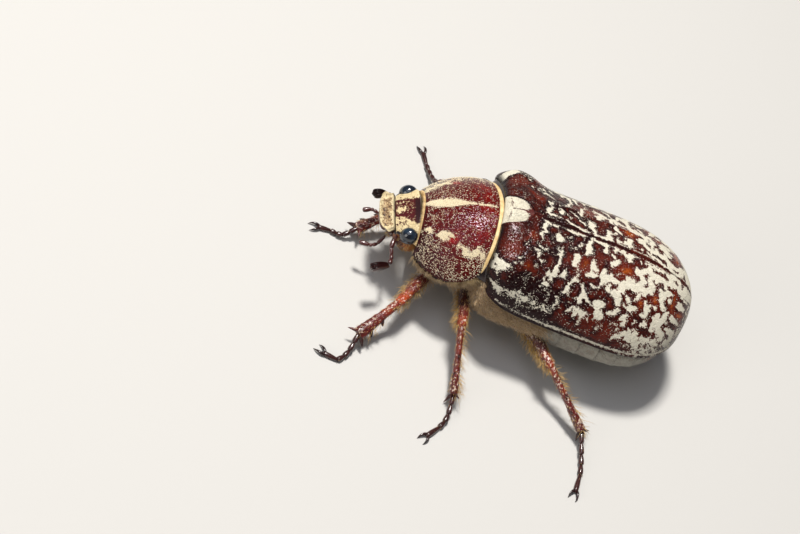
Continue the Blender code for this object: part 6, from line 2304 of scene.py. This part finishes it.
@dataclass(frozen=True)
class Legs(Part):
    """The six legs, each with thigh, shin, foot and claws, and their hair."""

    limb_rings: int = 60
    limb_sides: int = 40
    joint_radii: tuple[float, ...] = (0.29, 0.29, 0.30, 0.30, 0.29)
    claw_length: float = 1.05
    femur_hairs_per_mm2: float = 27.0
    femur_fringe: Coat = Coat(Strand.HAIR, 1.3, 0.038, lift=0.8, bend=0.35, stray=0.6)
    femur_hair: Coat = Coat(Strand.HAIR, 0.5, 0.035, lift=0.4)
    tibia_hairs_per_mm2: float = 22.0
    tibia_fringe: Coat = Coat(Strand.HAIR, 1.3, 0.036, lift=0.85, bend=0.3, stray=0.5)
    tibia_hair: Coat = Coat(Strand.HAIR, 0.45, 0.035, lift=0.5)
    foot_hairs_per_mm2: float = 5.0
    foot_hair: Coat = Coat(Strand.HAIR, 0.4, 0.035, lift=0.4)

    def limb(self, start: Array, end: Array, across: Array, widths: Sequence[Sequence[float]],
             depths: Sequence[Sequence[float]], ends: tuple[float, float]) -> tuple[Array, Array]:
        """Return the rings of a tapered limb with domed ends, and the shares along it.

        Each ring is an ellipse. Its half width and depth are smooth curves of the way along, times
        the closing of the ends, and noise swells it in and out.

        Args:
            start: the place where it starts.
            end: the place where it ends.
            across: the direction of the limb's width.
            widths: half widths at shares of the way.
            depths: half depths at shares of the way.
            ends: the shares that the two domes take.

        Returns:
            The rings, and how far along the limb each lies.
        """
        t = 0.5 - 0.5 * np.cos(np.linspace(0, np.pi, self.limb_rings))
        close = closing(t, *ends)
        halves = np.stack([smooth(widths)(t) * close, smooth(depths)(t) * close], axis=1)
        path = start + np.outer(t, end - start)
        rings = tube_rings(path, across, halves, self.limb_sides)
        knobs = 0.30 * (Grain(107).rough(rings, 0.32) - 0.5)
        return path[:, None] + (rings - path[:, None]) * (1 + knobs[..., None]), t

    @staticmethod
    def strewn(rings: Array, tone: Array, specks: Array) -> Surface:
        """Return a limb's surface with its tone, and with specks of scales where noise is high."""
        patch = np.clip(0.5 + (specks - 0.66) * 2, 0, 1)
        return tube(rings, {"tone": tone, "patch": patch, "rim": np.zeros(tone.shape)})

    def femur(self, name: str, pair: PairShape, leg: LegShape) -> Surface:
        """Make one thigh and return its hair: a fringe of long golden hairs below it.

        The thigh's tone rises towards the knee, and noise strews its scales.

        Args:
            name: the leg's name.
            pair: what the legs of its pair share.
            leg: where the leg's joints lie.

        Returns:
            The thigh's hair.
        """
        thigh = unit(np.subtract(leg.knee, leg.coxa))
        axis = unit(np.cross(thigh, unit(np.subtract(leg.ankle, leg.knee))) + 1e-6 * UP)
        start, end = np.array(leg.coxa) + thigh * 0.7, np.array(leg.knee) + thigh * 0.22
        across = unit(np.cross(axis, unit(end - start)))
        deep, thin = pair.femur_half
        widths = ((0, deep * 0.6), (0.3, deep), (0.6, deep * 0.9), (1, 0.56))
        depths = ((0, thin * 0.8), (0.35, thin), (1, 0.5))
        rings, t = self.limb(start, end, across, widths, depths, (0.1, 0.08))
        grain = Grain(101).rough(rings, 0.9)
        tone = 0.35 + 0.55 * step_between(0.55, 0.95, t)[:, None] + 0.25 * (grain - 0.5) - pair.femur_darker
        thigh_mesh = self.strewn(rings, tone, Grain(102).rough(rings, 0.17) + pair.speckled)
        place_mesh("femur_shell_" + name, thigh_mesh, self.finishes.leg, ("femur_" + name,))
        roots = self.outward(Skin(rings, closed=True).scatter(self.femur_hairs_per_mm2, 103), start, end)
        low = (roots.normal * unit(-UP + 0.4 * thigh)).sum(axis=1)
        rng = np.random.default_rng(104)
        fringe = roots.take((low > 0.1) & (rng.random(len(roots)) < 0.9))
        rest = roots.take((low <= 0.1) & (rng.random(len(roots)) < 0.4))
        return joined([self.femur_fringe.grow(fringe, thigh * 0.7 - UP * 0.4, 105),
                       self.femur_hair.grow(rest, thigh, 106)])

    @staticmethod
    def outward(roots: Roots, start: Array, end: Array) -> Roots:
        """Point the roots' normals away from the line between two places.

        Args:
            roots: where the strands grow.
            start: a place on the limb's middle line.
            end: another place on it.

        Returns:
            The same roots.
        """
        along = unit(end - start)
        offset = roots.place - start
        away = unit(offset - along * (offset @ along)[:, None])
        roots.normal = roots.normal * np.sign((roots.normal * away).sum(axis=1, keepdims=True) + 1e-9)
        return roots

    def tibia(self, name: str, pair: PairShape, leg: LegShape) -> Surface:
        """Make one shin with its teeth, thorns and spurs, and return its hair.

        The shin's tone falls towards the ankle. Each tooth, thorn and spur is a cone at a share of
        the shin's length, leaning out of it.

        Args:
            name: the leg's name.
            pair: what the legs of its pair share.
            leg: where the leg's joints lie.

        Returns:
            The shin's hair.
        """
        thigh, shin = unit(np.subtract(leg.knee, leg.coxa)), unit(np.subtract(leg.ankle, leg.knee))
        axis = unit(np.cross(thigh, shin) + 1e-6 * UP)
        start, end = np.array(leg.knee) - shin * 0.12, np.array(leg.ankle) + shin * 0.05
        length = np.linalg.norm(end - start)
        out = unit(np.cross(axis, shin))
        out = out if out @ UP > 0 else -out
        if pair.toothed:
            out = unit(np.cross(shin, UP)) * (-1 if leg.coxa[1] < 0 else 1)
            out = unit(out - UP * 0.35 - shin * ((out - UP * 0.35) @ shin))
        wide, thin = pair.tibia_half
        widths = ((0, wide * 0.9), (0.25, wide * 0.82), (0.7, wide * 1.1), (1, wide * pair.flare))
        depths = ((0, thin), (0.3, thin * 0.85), (0.7, thin), (1, thin * 1.3))
        rings, t = self.limb(start, end, out, widths, depths, (0.08, 0.04))
        grain = Grain(111).rough(rings, 0.7)
        tone = 0.62 - 0.30 * step_between(0.35, 1.0, t)[:, None] + 0.35 * (grain - 0.5)
        parts = [self.strewn(rings, tone, Grain(112).rough(rings, 0.16) + pair.speckled)]
        if pair.toothed:
            for share, reach in ((0.45, 0.35), (0.72, 0.55), (0.95, 0.75)):
                root = start + shin * length * share
                tip = root + out * (wide + reach) + shin * (0.25 + 0.45 * share)
                parts.append(plain_marks(cone(root, tip, 0.34, shin * -0.06), 0.05))
        else:
            for share, turn in ((0.42, 0.2), (0.66, -0.3)):
                root = start + shin * length * share
                lean = unit(out + axis * turn)
                parts.append(plain_marks(cone(root, root + lean * (wide + 0.42) + shin * 0.35, 0.2), 0.1))
            for turn in np.linspace(-2.4, 2.6, 9):
                lean = out * math.cos(turn) + axis * math.sin(turn)
                root = end - shin * 0.35
                parts.append(plain_marks(cone(root, root + lean * (wide * 1.45) + shin * 0.62, 0.13), 0.1))
        for turn, reach, inward in pair.spurs:
            root = end - shin * 0.35 - out * 0.15
            tip = end + shin * reach - out * inward + axis * turn
            parts.append(plain_marks(cone(root, tip, 0.2, out * -0.08), 0.25))
        place_mesh("tibia_shell_" + name, joined(parts), self.finishes.leg, ("tibia_" + name,))
        roots = self.outward(Skin(rings, closed=True).scatter(self.tibia_hairs_per_mm2, 113), start, end)
        rng = np.random.default_rng(114)
        rear = (roots.normal * unit(np.array((1.0, 0.0, -0.3)))).sum(axis=1)
        fringe = roots.take((rear > 0.3) & (rng.random(len(roots)) < pair.fringe))
        rest = roots.take((rear <= 0.3) & (rng.random(len(roots)) < 0.35))
        return joined([self.tibia_fringe.grow(fringe, shin, 115), self.tibia_hair.grow(rest, shin, 116)])

    @staticmethod
    def foot_path(leg: LegShape) -> Array:
        """Return the ends of the five joints of a foot along its smooth bent path.

        The path runs through the given places by a smooth curve of the distance along them.

        Args:
            leg: where the leg's joints lie.

        Returns:
            Six places, from the ankle to the root of the claws.
        """
        ankle, first = np.array(leg.ankle), np.array(leg.foot[0])
        places = np.array((ankle - unit(first - ankle) * 0.12, *leg.foot), float)
        run = np.concatenate([[0], np.cumsum(np.linalg.norm(np.diff(places, axis=0), axis=1))])
        shares = np.array((0, 0.2, 0.37, 0.53, 0.68, 1.0))
        return np.stack([smooth(np.stack([run / run[-1], places[:, k]], axis=1))(shares) for k in range(3)], axis=1)

    def foot(self, name: str, leg: LegShape) -> Surface:
        """Make one foot of five joints with thorns below each, and its pair of hooked claws.

        A claw's path swings outwards by a sine, and its height by another sine less a square.

        Args:
            name: the leg's name.
            leg: where the leg's joints lie.

        Returns:
            The foot's hair.
        """
        path = self.foot_path(leg)
        parts = [plain_marks(bead, 0.35) for bead in beads(path, self.joint_radii, waist=0.6, swell_at=0.7)]
        for i in range(4):
            along = unit(path[i + 1] - path[i])
            beside = unit(np.cross(along, UP))
            for spread in (-1, 1):
                root = path[i + 1] - along * 0.12
                tip = root + along * 0.32 + beside * spread * 0.22 - UP * min(0.3, max(root[2] - 0.06, 0.02))
                parts.append(plain_marks(cone(root, tip, 0.08), 0.05))
        aim = np.array((*leg.claws, 0.0))
        sideways = np.cross(UP, aim)
        for spread in (-1, 1):
            t = np.linspace(0, 1, 22)
            reach = path[-1] - aim * 0.28 + np.outer(t, aim * (self.claw_length + 0.23))
            reach += np.outer(0.09 + 0.36 * np.sin(t * 1.9), sideways * spread)
            reach[:, 2] = 0.215 + 0.16 * np.sin(t * np.pi) - 0.17 * t ** 2
            thick = smooth(((0, 0.15), (0.25, 0.17), (0.5, 0.13), (0.75, 0.08), (1, 0.015)))(t)
            parts.append(plain_marks(tube(tube_rings(reach, UP, np.outer(thick, (1, 1)), 14)), 0.15))
        whole = joined(parts)
        whole.points[:, 2] = np.maximum(whole.points[:, 2], 0.0)
        place_mesh("tarsus_shell_" + name, whole, self.finishes.foot, ("tarsus_" + name,))
        t = np.linspace(0, 1, 40)
        run = np.stack([np.interp(t * 5, np.arange(6), path[:, k]) for k in range(3)], axis=1)
        rings = tube_rings(run, UP, np.full((40, 2), 0.2), 10)
        skin = Skin(rings, closed=True)
        roots = self.outward(skin.scatter(self.foot_hairs_per_mm2, 121), path[0], path[-1])
        return self.foot_hair.grow(roots.take(roots.place[:, 2] > 0.3), unit(path[-1] - path[0]), 122)

    def make(self) -> None:
        """Make the six legs, and the hair of each as one piece."""
        for name, leg in LEGS.items():
            pair = LegPair[name.split("_")[0].upper()].value
            hair = joined([self.femur(name, pair, leg), self.tibia(name, pair, leg), self.foot(name, leg)])
            place_mesh("leg_hair_" + name, hair, self.finishes.gold)


# ---- floor, lights and camera


@dataclass(frozen=True)
class Lamp:
    """A square area light, in metres from the middle of the beetle, and aimed at it."""

    name: str
    place: Triple
    size: float
    watts: float
    colour: Triple
    beetle_height: float = 0.008

    def hang(self) -> None:
        """Put the light into the scene, turned so that it shines at the beetle."""
        data = bpy.data.lights.new(self.name, "AREA")
        data.size, data.energy, data.color = self.size, self.watts, self.colour
        lamp = bpy.data.objects.new(self.name, data)
        bpy.context.scene.collection.objects.link(lamp)
        back = unit(self.place)
        right = unit(np.cross(UP, back))
        lamp.matrix_world = Matrix(np.stack([right, np.cross(back, right), back], axis=1).tolist()).to_4x4()
        lamp.location = tuple(np.array(self.place) + self.beetle_height * UP)


@dataclass(frozen=True)
class Studio:
    """A pale floor, soft studio lights and the camera at the photograph's viewing angle."""

    lens_mm: float = 100.0
    sensor_mm: float = 36.0
    camera_at: Triple = (-62.827, -151.125, 174.937)
    right: Triple = (0.9112, 0.1359, 0.3889)
    up: Triple = (-0.3474, 0.7608, 0.5482)
    back: Triple = (-0.2214, -0.6346, 0.7404)
    floor_half: float = 1.5
    floor_colour: Triple = (0.52, 0.51, 0.49)
    floor_roughness: float = 0.85
    lamps: tuple[Lamp, ...] = (Lamp("key", (-0.10, 0.08, 0.40), 0.06, 2.55, (1.0, 0.97, 0.92)),
                               Lamp("sky", (-0.16, -0.10, 0.42), 0.35, 0.55, (0.86, 0.90, 1.0)),
                               Lamp("side", (-0.35, -0.30, 0.16), 0.25, 0.5, (1.0, 0.95, 0.88)))
    fill_colour: Triple = (0.95, 0.95, 1.0)
    fill_strength: float = 0.13

    def camera(self) -> None:
        """Place the camera where it was fitted to the photograph."""
        data = bpy.data.cameras.new("camera")
        data.lens, data.sensor_width, data.sensor_fit = self.lens_mm, self.sensor_mm, "HORIZONTAL"
        data.clip_start, data.clip_end = 0.005, 20.0
        camera = bpy.data.objects.new("camera", data)
        bpy.context.scene.collection.objects.link(camera)
        # The three directions are rounded, so the nearest true rotation takes their place
        u, _, vt = np.linalg.svd(np.stack([self.right, self.up, self.back], axis=1))
        place = Matrix((u @ vt).tolist()).to_4x4()
        place.translation = to_row(self.camera_at)
        camera.matrix_world = place
        bpy.context.scene.camera = camera

    def floor(self) -> None:
        """Lay the pale floor."""
        half = self.floor_half
        mesh = bpy.data.meshes.new("floor")
        mesh.from_pydata([(-half, -half, 0), (half, -half, 0), (half, half, 0), (-half, half, 0)], [], [(0, 1, 2, 3)])
        floor = bpy.data.objects.new("floor", mesh)
        bpy.context.scene.collection.objects.link(floor)
        made = bpy.data.materials.new("pale_floor")
        made.use_nodes = True
        shader = made.node_tree.nodes["Principled BSDF"]
        shader.inputs["Base Color"].default_value = (*self.floor_colour, 1.0)
        shader.inputs["Roughness"].default_value = self.floor_roughness
        mesh.materials.append(made)
        floor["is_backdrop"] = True

    def make(self) -> None:
        """Make the floor, the lights, the sky's fill and the camera."""
        self.floor()
        for lamp in self.lamps:
            lamp.hang()
        world = bpy.data.worlds.new("studio")
        world.use_nodes = True
        shade = world.node_tree.nodes["Background"]
        shade.inputs["Color"].default_value = (*self.fill_colour, 1.0)
        shade.inputs["Strength"].default_value = self.fill_strength
        bpy.context.scene.world = world
        bpy.context.scene.view_settings.view_transform = "Standard"
        self.camera()


def main() -> None:
    """Build the beetle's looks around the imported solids, then the studio."""
    logging.basicConfig(level=logging.INFO, format="%(name)s: %(message)s")
    finishes = Finishes()
    for maker in (Shield, WingCovers, Scutellum, Head, Feelers, Trunk, Legs):
        maker(finishes).make()
        LOG.info("%s is complete", maker.__name__)
    Studio().make()
    bpy.context.view_layer.update()
    boxes = {"cad": [list(corner) for corner in CAD_BOX], "visual": [list(corner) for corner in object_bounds()]}


if __name__ == "__main__":
    main()
